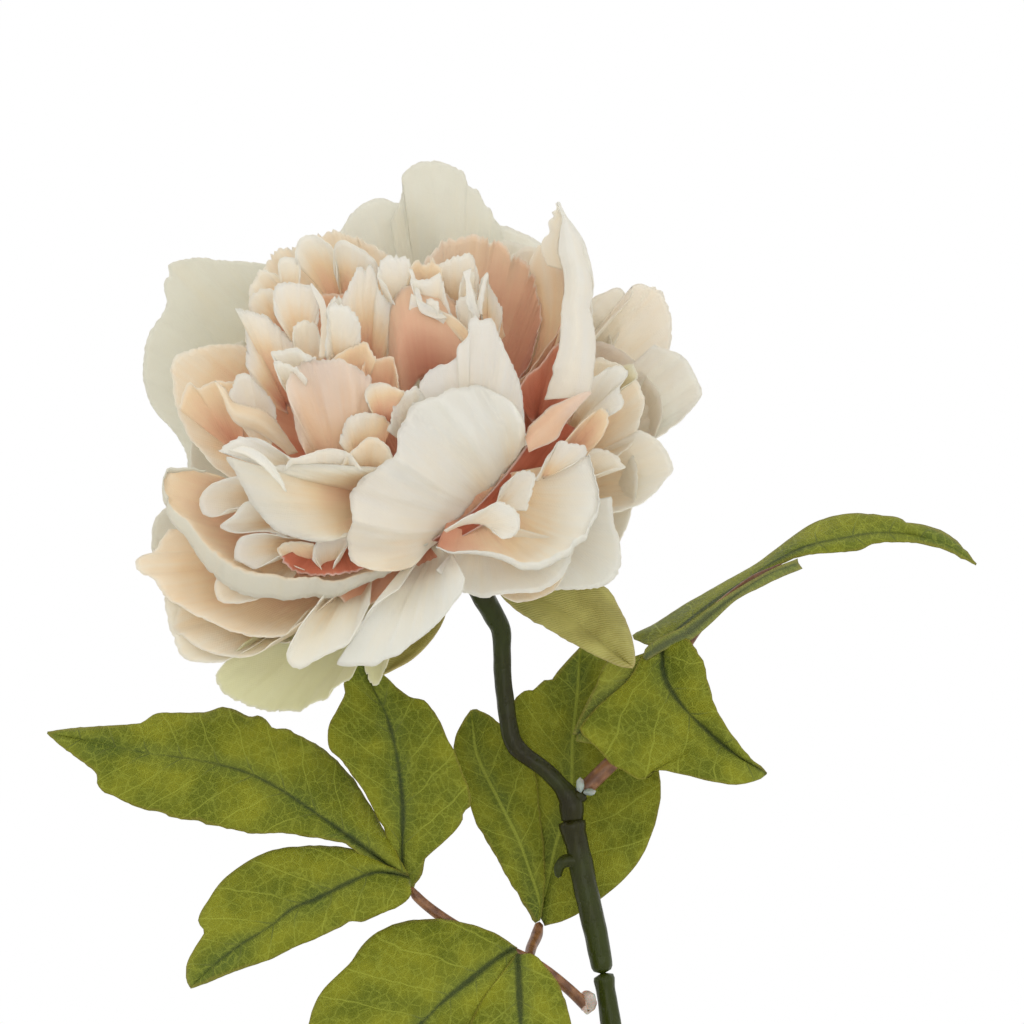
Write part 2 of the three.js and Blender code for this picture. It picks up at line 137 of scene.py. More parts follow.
def finished(name, mesh_data, slot, material, *nodes):
    """The mesh as a piece of the part, which stands for the CAD nodes."""
    mesh = bpy.data.meshes.new(name)
    mesh_data.to_mesh(mesh)
    mesh_data.free()
    mesh.polygons.foreach_set("use_smooth", [True] * len(mesh.polygons))
    mesh.materials.append(material)
    piece = bpy.data.objects.new(name, mesh)
    bpy.context.scene.collection.objects.link(piece)
    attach(piece, "root")
    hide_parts(*nodes)
    return piece


class Tint:
    """A value in a material. Sums and products of it add Math nodes, and node() adds any other one."""

    def __init__(self, tree, socket):
        self.tree = tree
        self.socket = socket

    def node(self, kind, inputs=(), output=0, stops=(), **settings):
        made = self.tree.nodes.new("ShaderNode" + kind)
        for name, value in settings.items():
            setattr(made, name, value)
        for i, (place, colour) in enumerate(stops):
            ramp = made.color_ramp.elements
            stop = ramp[i] if i < 2 else ramp.new(place)
            stop.position = place
            stop.color = (*colour, 1)
        for name, value in dict(inputs).items():
            if isinstance(value, Tint):
                self.tree.links.new(value.socket, made.inputs[name])
            else:
                made.inputs[name].default_value = value
        return Tint(self.tree, made.outputs[output])

    def maths(self, operation, *others, clamp=False):
        return self.node("Math", enumerate((self, *others)), operation=operation, use_clamp=clamp)

    def __add__(self, other):
        return self.maths("ADD", other)

    def __sub__(self, other):
        return self.maths("SUBTRACT", other)

    def __rsub__(self, other):
        return self.node("Math", {0: other, 1: self}, operation="SUBTRACT")

    def __mul__(self, other):
        return self.maths("MULTIPLY", other)

    __radd__ = __add__
    __rmul__ = __mul__

    def clamped(self):
        return self.maths("ADD", 0.0, clamp=True)

    def between(self, low, high):
        """0 below low, 1 above high, and smooth from one to the other."""
        return self.node("MapRange", {0: self, 1: low, 2: high}, interpolation_type="SMOOTHSTEP")

    def mix(self, first, second, **settings):
        """The first colour where this is 0 and the second where it is 1."""
        return self.node("Mix", {0: self, 6: first, 7: second}, output=2, data_type="RGBA", **settings)

    def parts(self):
        """The three numbers that a vector is made of."""
        split = self.node("SeparateXYZ", {0: self})
        return [Tint(self.tree, output) for output in split.socket.node.outputs]

    def scaled(self, *size):
        """These coordinates with a size for each axis. A small size stretches a pattern."""
        return self.node("Mapping", {0: self, 3: size})

    def clouds(self, scale=1.0, detail=2, **others):
        """Soft noise at these coordinates."""
        return self.node("TexNoise", {"Vector": self, "Scale": scale, "Detail": detail, **others})

    def cells(self, scale=1.0, **settings):
        """The distance to the nearest of many scattered points, or as the settings say."""
        return self.node("TexVoronoi", {"Vector": self, "Scale": scale}, **settings)

    def stored(self, name):
        """The vector that a mesh holds under a name."""
        return self.node("Attribute", output=1, attribute_name=name)


def new_material(name, roughness, **constants):
    """A material, its shader, and its object coordinates, which other nodes start from."""
    material = bpy.data.materials.new(name)
    material.use_nodes = True
    tree = material.node_tree
    shader = tree.nodes["Principled BSDF"]
    shader.inputs["Roughness"].default_value = roughness
    for socket, value in constants.items():
        shader.inputs[socket.replace("_", " ")].default_value = value
    place = Tint(tree, tree.nodes.new("ShaderNodeTexCoord").outputs["Object"])
    return material, shader, place


def feed(shader, socket, value):
    value.tree.links.new(value.socket, shader.inputs[socket])


def emboss(shader, height, strength, distance):
    """Gives the surface a relief, from a height and from how deep it is in metres."""
    bump = height.node("Bump", {"Height": height, "Strength": strength, "Distance": distance})
    feed(shader, "Normal", bump)


def colour(red, green, blue):
    """A colour from its screen values of 0 to 255."""
    shares = (v / 255 for v in (red, green, blue))
    return tuple(v / 12.92 if v < 0.04 else ((v + 0.055) / 1.055) ** 2.4 for v in shares)


def paint(red, green, blue):
    return (*colour(red, green, blue), 1)


profile = [Vector(p) for p in VASE_FOOT] + line_through(VASE_OUTSIDE, 60) + [Vector(p) for p in VASE_LIP]
profile += line_through(VASE_INSIDE, 50) + [Vector(VASE_FLOOR)]
vase = bmesh.new()
wall = [vase.verts.new((p.x * MM, 0, p.y * MM)) for p in profile]
edges = [vase.edges.new(pair) for pair in zip(wall, wall[1:])]
bmesh.ops.spin(vase, geom=wall + edges, axis=(0, 0, 1), cent=(0, 0, 0), angle=2 * pi, steps=VASE_TURNS,
               use_merge=True)
bmesh.ops.remove_doubles(vase, verts=vase.verts, dist=1e-6)
bmesh.ops.recalc_face_normals(vase, faces=vase.faces)

glaze, shader, place = new_material("off_white_glaze", 0.16, Coat_Weight=0.4, Coat_Roughness=0.06)
height = place.parts()[2]
cloud = place.clouds(24, 3)
iron = (1 - place.cells(210).between(0.05, 0.16)) * cloud.between(0.5, 0.62)
bare_foot = 1 - height.between(0.0022, 0.0032)
thin_at_lip = height.between(0.1462, 0.1486)
warm = cloud.between(0.3, 0.7).mix(paint(218, 213, 203), paint(228, 224, 215))
warm = (thin_at_lip * 0.55).mix(warm, paint(205, 192, 170))
warm = (iron * 0.6).mix(warm, paint(140, 118, 92))
feed(shader, "Base Color", bare_foot.mix(warm, paint(196, 182, 160)))
feed(shader, "Roughness", bare_foot * 0.6 + cloud * 0.08 + 0.1)
rings = place.node("TexWave", {"Vector": place, "Scale": 62, "Distortion": 1.2, "Detail": 1}, output=1,
                   bands_direction="Z")
emboss(shader, rings, 0.12, 0.0012)
finished("vase_glazed", vase, "vase", glaze, "vase")

# Stem ---------------------------------------------------------------------------------------------
# Three lengths of moulded dark green plastic over a wire, plugged into one another. The upper length has
# the fork for the right-hand stalk, and the middle one has a collar and a small hooked stub.

HUB = Vector((-45.4, -16, 305.4))


def seen(across, up, depth):
    """The point at a depth along Y that the camera sees this far to the right of the hub and above it."""
    far = (depth - EYE.y) / (HUB.y - EYE.y)
    return Vector((EYE.x + (HUB.x + across - EYE.x) * far, depth, EYE.z + (HUB.z + up - EYE.z) * far))


def route(*spots):
    return [seen(*spot) for spot in spots]


def through(values, t):
    """A plain value, or the value at t on the curve through a start, middle and end value."""
    if not isinstance(values, tuple):
        return values
    start, middle, end = values
    return start + (4 * middle - 3 * start - end) * t + (2 * start + 2 * end - 4 * middle) * t * t


def rod(mesh, path, radii, sides=28, step=0.8, rough=0.0):
    """A round rod on a smooth line through the points, with a radius at each of them and closed ends."""
    knots = [Vector(p) for p in path]
    length = sum((b - a).length for a, b in zip(knots, knots[1:]))
    rows = max(8, int(length / step))
    line = line_through(knots, rows)
    spans = [0.0]
    for a, b in zip(knots, knots[1:]):
        spans.append(spans[-1] + (b - a).length)
    grid = bmesh.ops.create_grid(mesh, x_segments=sides, y_segments=rows, size=0.5)["verts"]
    for vert in grid:
        angle = 2 * pi * (vert.co.x + 0.5)
        row = min(rows, int((vert.co.y + 0.5) * rows + 0.5))
        here = line[row]
        ahead = (line[min(row + 1, rows)] - line[max(row - 1, 0)]).normalized()
        side = ahead.cross(Vector((0, 1, 0.01))).normalized()
        over = side.cross(ahead)
        done = spans[-1] * row / rows
        spot = max(i for i, span in enumerate(spans[:-1]) if span <= done + 1e-6)
        share = min(1, (done - spans[spot]) / (spans[spot + 1] - spans[spot]))
        share = share * share * (3 - 2 * share)
        radius = radii[spot] + (radii[spot + 1] - radii[spot]) * share
        radius *= 1 + rough * noise.noise(here / 3 + Vector((cos(angle), sin(angle), 0)) * 1.3)
        radius = 0.02 if row in (0, rows) else radius
        vert.co = (here + (side * cos(angle) + over * sin(angle)) * radius) * MM
    bmesh.ops.remove_doubles(mesh, verts=grid, dist=1e-6)


stem_plastic, shader, place = new_material("stem_plastic", 0.42, Specular_IOR_Level=0.2)
grain = place.scaled(1, 1, 0.16).clouds(900, 5)
patch = place.clouds(70, 3)
pits = place.cells(620).between(0.0, 0.35)
lower_down = 1 - place.parts()[2].between(0.19, 0.245)
green = patch.between(0.35, 0.7).mix(paint(36, 33, 8), paint(48, 56, 14))
green = (lower_down * 0.7).mix(green, paint(52, 62, 12))
feed(shader, "Base Color", (grain.between(0.45, 0.75) * 0.18).mix(green, paint(66, 66, 22)))
feed(shader, "Roughness", grain * 0.2 + 0.2)
emboss(shader, grain * 0.7 + pits * 0.3, 0.45, 0.0008)

upper = bmesh.new()
rod(upper, route(
    (3.3, -10.1, -4.2), (4.2, -14, -3), (6.1, -18.6, -1.5), (8.3, -22.5, 0), (10, -26, 1), (10.2, -30, 1.5),
    (10.4, -36, 2), (11, -41.5, 2), (11.6, -46, 2), (12.3, -49.4, 2), (13.7, -51.8, 2), (16.3, -53.9, 2),
    (19.7, -56.4, 2), (22.6, -59.4, 2), (24.6, -62, 2), (25.3, -64, 2), (25.4, -68.2, 2)),
    [3.1, 2.9, 2.5, 2.35, 2.2, 2.0, 1.95, 1.95, 1.95, 2.0, 2.05, 1.85, 1.8, 1.9, 2.4, 2.75, 2.3], rough=0.05)
rod(upper, route((24, -63.4, 2), (25.6, -62.4, 2.2), (27.4, -61.6, 2.6), (28.2, -61, 2.8)),
    [1.8, 2.1, 1.8, 1.4], rough=0.04)
finished("stem_upper_smooth", upper, "stem", stem_plastic, "stem_upper")

middle_stem = bmesh.new()
rod(middle_stem, route(
    (25.2, -66.8, 2), (25.5, -68.6, 2), (25.8, -70, 2), (26.6, -73, 2), (27.4, -77, 2), (28.2, -81, 1.8),
    (29.5, -87, 1.5), (31, -94, 1.2), (31.8, -98.6, 1), (32.1, -100.6, 0.9)),
    [2.95, 3.05, 2.7, 2.55, 2.75, 2.7, 2.7, 2.6, 2.45, 1.7], rough=0.05)
rod(middle_stem, route((27, -76.2, 1.4), (24.2, -76, 0.8), (22.7, -77.2, 0.6), (22.4, -79.8, 0.6)),
    [1.7, 1.5, 1.2, 0.7], sides=20, step=0.5)
finished("stem_middle_smooth", middle_stem, "stem", stem_plastic, "stem_middle")

lower = bmesh.new()
rod(lower, [*route((32, -100.2, 0.9), (32.3, -101.4, 0.9), (32.7, -104, 0.9), (33.8, -111, 0.8)),
            (-8.6, 0.4, 171), (-5.5, 0, 150), (5.5, 0, 79), (16.5, 0, 7.9)],
    [1.7, 2.4, 2.15, 2.3, 2.7, 3.0, 3.1, 3.1], rough=0.04)
finished("stem_lower_smooth", lower, "stem", stem_plastic, "stem_lower")

# Stalks and glue ----------------------------------------------------------------------------------
# Thin moulded stalks of red-brown plastic that carry the leaves. They are plugged into the stem, and
# whitish beads of hot glue hold them there.

BEADS = (((-16.4, -1.6, 197.4), (2.0, 1.9, 2.6)), (seen(27.2, -59.6, 0.9), (0.9, 1.3, 1.6)),
         (seen(29.2, -61.1, 1), (1.4, 1.1, 0.8)))

stalk_plastic, shader, place = new_material("stalk_plastic", 0.4, Specular_IOR_Level=0.5)
grain = place.clouds(420, 4)
feed(shader, "Base Color", grain.between(0.35, 0.7).mix(paint(98, 60, 32), paint(146, 100, 62)))
emboss(shader, grain, 0.4, 0.0006)

right_stalk = bmesh.new()
rod(right_stalk, route((27.4, -61.2, 2.6), (30.8, -57.9, 3), (34.4, -54.4, 3.4), (35.6, -53.4, 3.6)),
    [1.7, 1.8, 1.8, 1.2], sides=24)
rod(right_stalk, route(
    (34, -55, 3.4), (38, -49, 5), (45, -37, 6), (50.4, -29, 5.6), (52.5, -25.8, 5), (56.2, -21.8, 4.6),
    (60, -18.4, 4.2), (64.5, -15, 4), (71, -11.6, 4)),
    [1.0, 1.1, 1.1, 1.15, 1.2, 1.1, 0.95, 0.8, 0.3], sides=18)
finished("stalk_right_smooth", right_stalk, "stalks", stalk_plastic, "stalk_right")

spray = bmesh.new()
rod(spray, [*route((29.6, -108.6, -1.5), (24.2, -103.4, -3.2), (17, -98, -4)), (-40, -3.6, 211.6),
            *route((-1.6, -89, -3), (-8.2, -83.8, -3.2), (-9.8, -81.5, -3.4))],
    [1.3, 1.25, 1.2, 1.15, 1.2, 1.1, 0.6], sides=20)
rod(spray, route((16, -97.4, -3.6), (16.6, -94.8, 1.5), (17.8, -92, 7), (18.4, -89.2, 9)),
    [1.1, 1.2, 1.3, 0.9], sides=18)
rod(spray, route((21, -101, -4), (16, -98.4, -6.5), (13.2, -96, -8.6)), [1.0, 1.0, 0.7], sides=16)
finished("stalk_spray_smooth", spray, "stalks", stalk_plastic, "stalk_spray")

hot_glue, shader, place = new_material("hot_glue", 0.2, Coat_Weight=0.3, Subsurface_Weight=0.3)
cloudy = place.clouds(260, 3)
feed(shader, "Base Color", cloudy.between(0.3, 0.7).mix(paint(132, 128, 118), paint(178, 174, 164)))
emboss(shader, cloudy, 0.3, 0.0006)
beads = bmesh.new()
for centre, radii in BEADS:
    ball = bmesh.ops.create_uvsphere(beads, u_segments=40, v_segments=24, radius=1)["verts"]
    for vert in ball:
        lump = 1 + 0.16 * noise.noise(vert.co * 1.6 + Vector(centre))
        vert.co = (Vector(v * r * lump for v, r in zip(vert.co, radii)) + Vector(centre)) * MM
finished("glue_beads", beads, "glue", hot_glue, "glue")

# Leaves -------------------------------------------------------------------------------------------
# Lobed leaves stamped from printed polyester cloth: olive green with a yellow-green net of veins, a
# blue-green band and a dark line along the midrib, and a browned cut edge. They are pressed to shape.

RIM_STEP = 0.5
LENGTH_STEP = 0.9
LEAF_THICKNESS = 0.42
OUTLINE_STEPS = 160
VEIN_SPACING = 8.5


def new_cloth():
    """An empty mesh for petals or leaves, with the values that their materials read."""
    cloth = bmesh.new()
    for name in ("wear", "along", "flat"):
        cloth.verts.layers.float_vector.new(name)
    return cloth


def ripple(across, along, key, wave, pleats, loose):
    """How far the cloth stands off its smooth shape, in mm: soft waves, finer ones, and lengthwise pleats."""
    soft = noise.noise(Vector((across / 13, along / 17, key)))
    fine = noise.noise(Vector((across / 4.6, along / 11, key + 7)))
    line = 0.5 - 2 * abs(noise.noise(Vector((across / 2.6, along / 34, key + 3))))
    crumple = 0.4 - 2 * abs(noise.noise(Vector((across / 7, along / 9, key + 5))))
    return (wave * (1.5 * soft * (0.3 + loose) + 0.5 * fine * loose + 0.5 * crumple * loose)
            + pleats * line * (0.4 + 0.6 * loose))


def flat_line(points, count, curve=1.0):
    """A line through points that are given as (across, up)."""
    return line_through([(*p, 0) for p in points], count, curve)


def lay(cloth, columns, rows, shape, key):
    """Adds a grid of cloth.

    shape(s, t) gives a point, its heat, tint and distance from the raw edge, and its own place, in mm."""
    wear, along, flat = (cloth.verts.layers.float_vector[name] for name in ("wear", "along", "flat"))
    grid = bmesh.ops.create_grid(cloth, x_segments=columns, y_segments=rows, size=0.5)["verts"]
    spots = [(vert.co.x + 0.5, vert.co.y + 0.5) for vert in grid]
    corner, right, top = shape(0.1, 0.5)[0], shape(0.9, 0.5)[0], shape(0.5, 0.95)[0]
    side = (right - corner).normalized()
    over = (top - corner - side * side.dot(top - corner)).normalized()
    for vert, (s, t) in zip(grid, spots):
        point, heat, tint, edge, across, run = shape(s, t)
        vert.co = point * MM
        vert[wear] = (heat, edge, tint)
        vert[along] = (across, run, key)
        vert[flat] = (side.dot(point), over.dot(point), key)


def pressed(name, cloth, slot, material, thickness, *nodes):
    """The cloth as a piece, given its thickness."""
    piece = finished(name, cloth, slot, material, *nodes)
    body = piece.modifiers.new("cloth", "SOLIDIFY")
    body.thickness = thickness * MM
    body.offset = 0
    return piece


def leaf(cloth, depth, midrib, left, right, tilt=(0, 0), tint=0, wave=1, dome=0.0):
    """One lobe, given by its midrib and its two edges from foot to tip as the camera sees them.

    tilt is how far each edge stands back for each mm that it is from the midrib, and dome is how far each
    half stands out between the midrib and its edge. A tint of 1 is a pale underside, and -1 a pale midrib."""
    lines = [flat_line(points, OUTLINE_STEPS) for points in (left, midrib, right)]
    length = sum((b - a).length for a, b in zip(lines[1], lines[1][1:]))
    halves = [max((a - b).length for a, b in zip(side, lines[1])) for side in (lines[0], lines[2])]
    columns = max(12, 2 * int((halves[0] + halves[1]) / LENGTH_STEP / 2))
    rows = max(24, int(length / LENGTH_STEP))
    key = midrib[0][0] * 1.3 + midrib[-1][1] * 0.7

    def shape(s, t):
        spot = min(int(t * OUTLINE_STEPS), OUTLINE_STEPS - 1)
        past = t * OUTLINE_STEPS - spot
        edge_left, middle, edge_right = (line[spot].lerp(line[spot + 1], past) for line in lines)
        half = edge_left if s < 0.5 else edge_right
        share = abs(2 * s - 1)
        place = middle.lerp(half, share)
        away = (half - middle).length * share
        back = tilt[0 if s < 0.5 else 1] * away
        cross = -away if s < 0.5 else away
        vein = 0.16 * sin(2 * pi * (t * length - away * 0.9) / VEIN_SPACING + key) * min(1, away / 3)
        stand = ripple(cross, t * length, key, wave * 1.5, 0.1, share) + dome * sin(pi * share) + vein
        stand *= min(1, (half - middle).length / 3)
        free = min((half - middle).length * (1 - share), (1 - t) * length)
        ragged = noise.noise(Vector((t * length / 1.6, share, key))) * 0.22 * share**4
        point = seen(place.x + ragged, place.y + ragged, through(depth, t) + back - stand)
        return point, t, tint, free, cross, t * length

    lay(cloth, columns, rows, shape, key)


leaf_cloth, shader, place = new_material("leaf_cloth", 0.62, Specular_IOR_Level=0.18)
_, edge, tint = place.stored("wear").parts()
along = place.stored("along")
across, run, _ = along.parts()
flat_x, flat_y, _ = place.stored("flat").parts()
far = across.maths("ABSOLUTE")
wander = along.scaled(0.11, 0.11, 1).clouds()
rank = (run - far * 0.95 + far * far * 0.01) * 0.13 + wander * 0.5
side_vein = 1 - (rank.maths("FRACT") - 0.5).maths("ABSOLUTE").between(0.008, 0.04)
bent = along.node("VectorMath", {0: along, 1: wander}, operation="ADD")
net = bent.scaled(0.46, 0.46, 1).cells(feature="DISTANCE_TO_EDGE")
fine_net = bent.scaled(1.3, 1.3, 1).cells(feature="DISTANCE_TO_EDGE")
net_line = (1 - net.between(0.01, 0.09)) * 0.4
fine_line = (1 - fine_net.between(0.01, 0.1)) * 0.3
pale_rib = (tint * -1).between(0, 1)
veins = (side_vein * 0.8).maths("MAXIMUM", net_line + fine_line)
veins = veins.maths("MAXIMUM", pale_rib * (1 - far.between(0.2, 0.6)))
blotch = place.clouds(95, 4)
green = blotch.between(0.35, 0.65).mix(paint(92, 100, 14), paint(126, 128, 26))
band = (1 - (far + wander * 5).between(2.6, 6.5)) * 0.4
green = band.mix(green, paint(70, 92, 44))
dark_line = (1 - (far + wander * 1.2 + run * 0.014).between(0.9, 1.9)) * 0.8
smudge = side_vein * (1 - far.between(1.0, 4.5)) * 0.6
green = (veins * 0.55).mix(green, paint(164, 172, 66))
green = (dark_line.maths("MAXIMUM", smudge) * (1 - pale_rib)).mix(green, paint(40, 52, 28))
browned = 1 - (edge + (blotch - 0.5) * 1.5).between(0.1, 0.7)
green = (browned * 0.5).mix(green, paint(134, 124, 52))
feed(shader, "Base Color", (tint * 0.75).mix(green, paint(198, 202, 158)))
feed(shader, "Roughness", blotch * 0.2 + 0.5)
threads = (flat_x * 12.5).maths("SINE") + (flat_y * 12.5).maths("SINE")
emboss(shader, threads * 0.04 + blotch * 0.25 - veins * 0.16, 0.6, 0.001)

left_leaf = new_cloth()
leaf(left_leaf, (-5, -9, -10), [
    (-10, -80), (-14.5, -77), (-20, -73), (-27, -68), (-32, -64.5), (-38, -60.5), (-45, -57), (-52, -55),
    (-60, -53.6), (-66, -52.8), (-76, -50.8), (-88.3, -48.3)], [
    (-10, -79.5), (-16.3, -67.7), (-19, -63), (-22, -58.5), (-25, -55), (-29, -51.5), (-33, -49.3),
    (-37, -47.4), (-38.8, -47.5), (-42.5, -44.6), (-44.5, -44.9), (-48, -43.3), (-50.3, -42.8),
    (-54, -43.9), (-61, -44), (-64.8, -44.2), (-67, -45.7), (-68, -46.2), (-72, -46.6), (-83, -47.4),
    (-88.3, -48.2)], [
    (-10, -80.5), (-21.7, -73.8), (-24, -72), (-26, -71.7), (-31, -70.9), (-37, -70), (-44, -70.1),
    (-49, -69), (-54, -68), (-55.5, -67.3), (-58, -67.2), (-62.4, -66.2), (-63, -65.6), (-67, -65),
    (-73, -62.5), (-77.2, -60), (-77.5, -57.2), (-80, -55), (-86, -50.5), (-88.3, -48.4)],
    tilt=(0.5, -0.35), dome=1.2)
leaf(left_leaf, (-3, -3, 2), [
    (-11, -82), (-11.5, -75), (-11.3, -65), (-12, -57), (-13.2, -50), (-15, -44), (-18, -38), (-20, -33)], [
    (-11.5, -81), (-15.8, -67.8), (-17, -66), (-20, -60.5), (-24, -55), (-27, -52), (-27.5, -49.5),
    (-27.2, -46.5), (-25.5, -43.3), (-23.8, -39.5), (-24, -37.4), (-22, -33.4), (-20, -32.6)], [
    (-9, -83), (-8.8, -81.2), (-7.5, -79.5), (-6.8, -77.5), (-6.5, -75.5), (-5.5, -74.5), (-2, -71.5),
    (0.5, -69), (1.7, -67), (1.8, -65.5), (3.3, -64.3), (3.2, -61), (1.5, -56), (-0.8, -51.3), (-1.5, -50),
    (-3, -46), (-5, -42.9), (-6.5, -41.3), (-9.8, -40.7), (-11, -40), (-14, -37), (-16.3, -35),
    (-20, -32.5)], tilt=(-0.12, -0.12), dome=0.8)
leaf(left_leaf, (-6, -13, -20), [
    (-10, -79.5), (-17, -78.5), (-22, -80.3), (-30, -84.3), (-35, -86.3), (-40, -90.3), (-46, -94),
    (-52, -98.5), (-57.3, -103.5)], [
    (-10, -79.3), (-21.7, -73.8), (-25, -73.1), (-31, -72.8), (-36, -73.2), (-41, -74.3), (-45, -76.3),
    (-50, -80), (-53, -84), (-55.6, -89.2), (-54.2, -91.2), (-56, -94.5), (-57.8, -98), (-58.2, -101),
    (-57.3, -103.4)], [
    (-9.8, -80.5), (-9.7, -83.6), (-12.5, -86), (-16, -87.5), (-20.5, -89.3), (-22.5, -89.1), (-25, -90.5),
    (-30, -92.8), (-35, -94.8), (-40, -97.3), (-45, -99), (-50, -100.8), (-54, -102.5), (-57.3, -103.6)],
    tilt=(0.4, -0.35), dome=1)
pressed("leaf_left_cloth", left_leaf, "leaves", leaf_cloth, LEAF_THICKNESS, "leaf_left")

back_leaf = new_cloth()
leaf(back_leaf, (8, 10, 12), [
    (18.3, -89), (18.5, -85.5), (16, -77.5), (14, -72), (9.5, -63), (5.5, -55), (4.5, -52), (3.6, -43.4)], [
    (17.5, -89.5), (15, -85.5), (12, -80.5), (8, -73.5), (4.3, -67), (2, -60), (0, -54), (0, -50),
    (0.6, -48), (2, -45.5), (3.4, -43.4)], [
    (18.8, -88), (19.5, -78), (18.5, -66), (16.5, -54), (12, -48), (9.3, -46), (7, -44.3), (5, -43.3),
    (3.8, -43.4)], tilt=(-0.15, 0.1), tint=-1, dome=0.6)
leaf(back_leaf, (10, 14, 18), [
    (18.5, -88), (22, -72), (25, -62), (25.5, -50), (26.5, -40), (27, -33), (27.4, -29.6)], [
    (18, -89), (16.5, -78), (14.5, -66), (12.5, -54), (12, -46), (13, -41), (14, -40), (15.5, -39.1),
    (16.5, -39.3), (19.5, -36.9), (20.7, -37.1), (22.5, -34.8), (27.3, -29.7)], [
    (19.5, -90), (23.2, -89.1), (32.1, -83.9), (39.9, -76.1), (44.4, -64), (44.2, -56.2), (41, -46),
    (37, -38), (33, -33), (27.6, -29.7)], tilt=(-0.1, -0.15), tint=-1, dome=0.8)
pressed("leaf_back_cloth", back_leaf, "leaves", leaf_cloth, LEAF_THICKNESS, "leaf_back")

front_leaf = new_cloth()
leaf(front_leaf, (-9, -18, -26), [
    (13, -94.8), (8, -98), (2.5, -102.5), (-3, -107), (-7, -111), (-20, -121), (-34.5, -133)], [
    (13.5, -95), (12.5, -94.3), (9, -92), (4, -90), (-2, -88.8), (-7.5, -88.8), (-13, -89.8), (-17.5, -92),
    (-20.5, -95), (-22.5, -98), (-25, -100.5), (-28.5, -104), (-30.5, -107.5), (-31.5, -111), (-34, -120),
    (-36.5, -128), (-34.5, -132.8)], [
    (13.5, -96), (12, -101), (9, -107), (3, -114), (-6, -121), (-18, -127), (-28, -131.5), (-34.5, -133.2)],
    tilt=(0.4, -0.3), dome=1)
leaf(front_leaf, (-11, -22, -27), [
    (13.6, -96), (14, -105), (14.5, -115), (15, -127), (16.5, -139)], [
    (13.3, -96.5), (9, -102), (5, -108), (2, -116), (3, -125), (8, -134), (16.2, -139.3)], [
    (14, -96.6), (16.5, -96.3), (19.5, -99), (22, -102), (23.5, -105), (24.5, -108), (25.5, -113),
    (26, -120), (24, -130), (16.8, -139.3)], tilt=(0.1, 0.1), dome=0.8)
pressed("leaf_front_cloth", front_leaf, "leaves", leaf_cloth, LEAF_THICKNESS, "leaf_front")

right_leaf = new_cloth()
leaf(right_leaf, (4, 7, 2), [
    (45, -29.3), (50, -24.6), (56, -20), (62, -16), (69, -11.4), (76, -8), (84, -6.2), (92, -5),
    (100, -5.6), (107, -7.8), (113, -11.8)], [
    (44, -30), (38.5, -27.5), (43, -25), (50, -20.5), (53, -18.8), (60, -14.8), (65, -12), (70, -8.3),
    (74, -5.3), (77, -3.3), (80, -2), (84, -1), (87, -0.8), (92, -1.2), (96.5, -1.8), (97.5, -2.7),
    (102.5, -3.5), (107, -5.5), (110, -8), (112, -10.5), (113, -11.7)], [
    (46, -29), (52, -24), (58, -19.5), (64, -15.5), (71, -11.6), (75, -10), (83, -9.1), (88, -8.6),
    (90.5, -7.4), (97, -6.9), (102, -7.5), (107, -9), (111, -11), (113, -11.9)], tilt=(1.3, -1.1), dome=1)
leaf(right_leaf, (1, 2.5, 3), [
    (41.2, -32.2), (46, -28.8), (50.5, -26.5), (56, -22), (62, -17.6), (68, -13.8), (74.5, -11.4)], [
    (40.8, -32), (41.5, -30), (45, -27.5), (50, -25), (56, -20.5), (63, -16), (70, -12.3), (74.3, -10.6)], [
    (41.5, -32.5), (46, -30), (50.5, -28.5), (55, -25), (61, -19.5), (66, -16.8), (70, -14.8),
    (75.3, -12.6)], tint=0.14, dome=0.4)
leaf(right_leaf, (3, -2, -6), [
    (45, -29.5), (45.5, -36), (49, -42), (55, -48), (61, -53), (67.6, -57)], [
    (43, -29.3), (40.8, -31.5), (37.5, -37), (34, -40), (30, -43.5), (26.9, -47.8), (28, -48.8), (31, -52),
    (34, -55), (38.5, -57.5), (40.7, -58.6), (42.5, -57), (44.5, -56.3), (49, -57.3), (55, -58.7),
    (59, -59.3), (63, -59.2), (66, -58.3), (67.5, -57.1)], [
    (46, -28.6), (50.5, -28), (52, -29.8), (53.8, -33), (55, -38), (56.5, -42.5), (59.5, -48), (63, -52.5),
    (67.6, -56.9)], tilt=(-0.15, -0.1), dome=1)
leaf(right_leaf, (3.5, 2, 0), [
    (46, -30), (40, -36), (34, -42), (26.5, -48.6)], [
    (45, -29.5), (38, -32), (33, -33), (30.5, -38), (27.5, -44), (25.6, -48.6)], [
    (46, -31), (42, -39), (37, -46), (31, -50.5), (26.3, -50)], tint=0.05, dome=0.4)
pressed("leaf_right_cloth", right_leaf, "leaves", leaf_cloth, LEAF_THICKNESS, "leaf_right")

# Calyx --------------------------------------------------------------------------------------------
# A small moulded cup that holds the petals on the stem, under five sepals of the same cloth as the
# leaves, dyed olive-bronze and pressed with a diagonal twill. One sepal shows well in the photograph.

sepal_cloth, shader, place = new_material("sepal_cloth", 0.6, Specular_IOR_Level=0.35)
heat, edge, _ = place.stored("wear").parts()
flat_x, flat_y, _ = place.stored("flat").parts()
twill = ((flat_x + flat_y) * 9.0).maths("SINE")
cloud = place.clouds(110, 4)
olive = cloud.between(0.35, 0.65).mix(paint(138, 130, 58), paint(176, 170, 92))
olive = ((1 - heat.between(0.1, 0.6)) * 0.5).mix(olive, paint(140, 146, 84))
olive = (twill.between(-1, 1) * 0.3).mix(olive, paint(196, 190, 126))
olive = ((1 - (edge + cloud).between(0.5, 1.1)) * 0.5).mix(olive, paint(176, 160, 104))
feed(shader, "Base Color", olive)
emboss(shader, twill * 0.08 + cloud * 0.4, 0.5, 0.001)

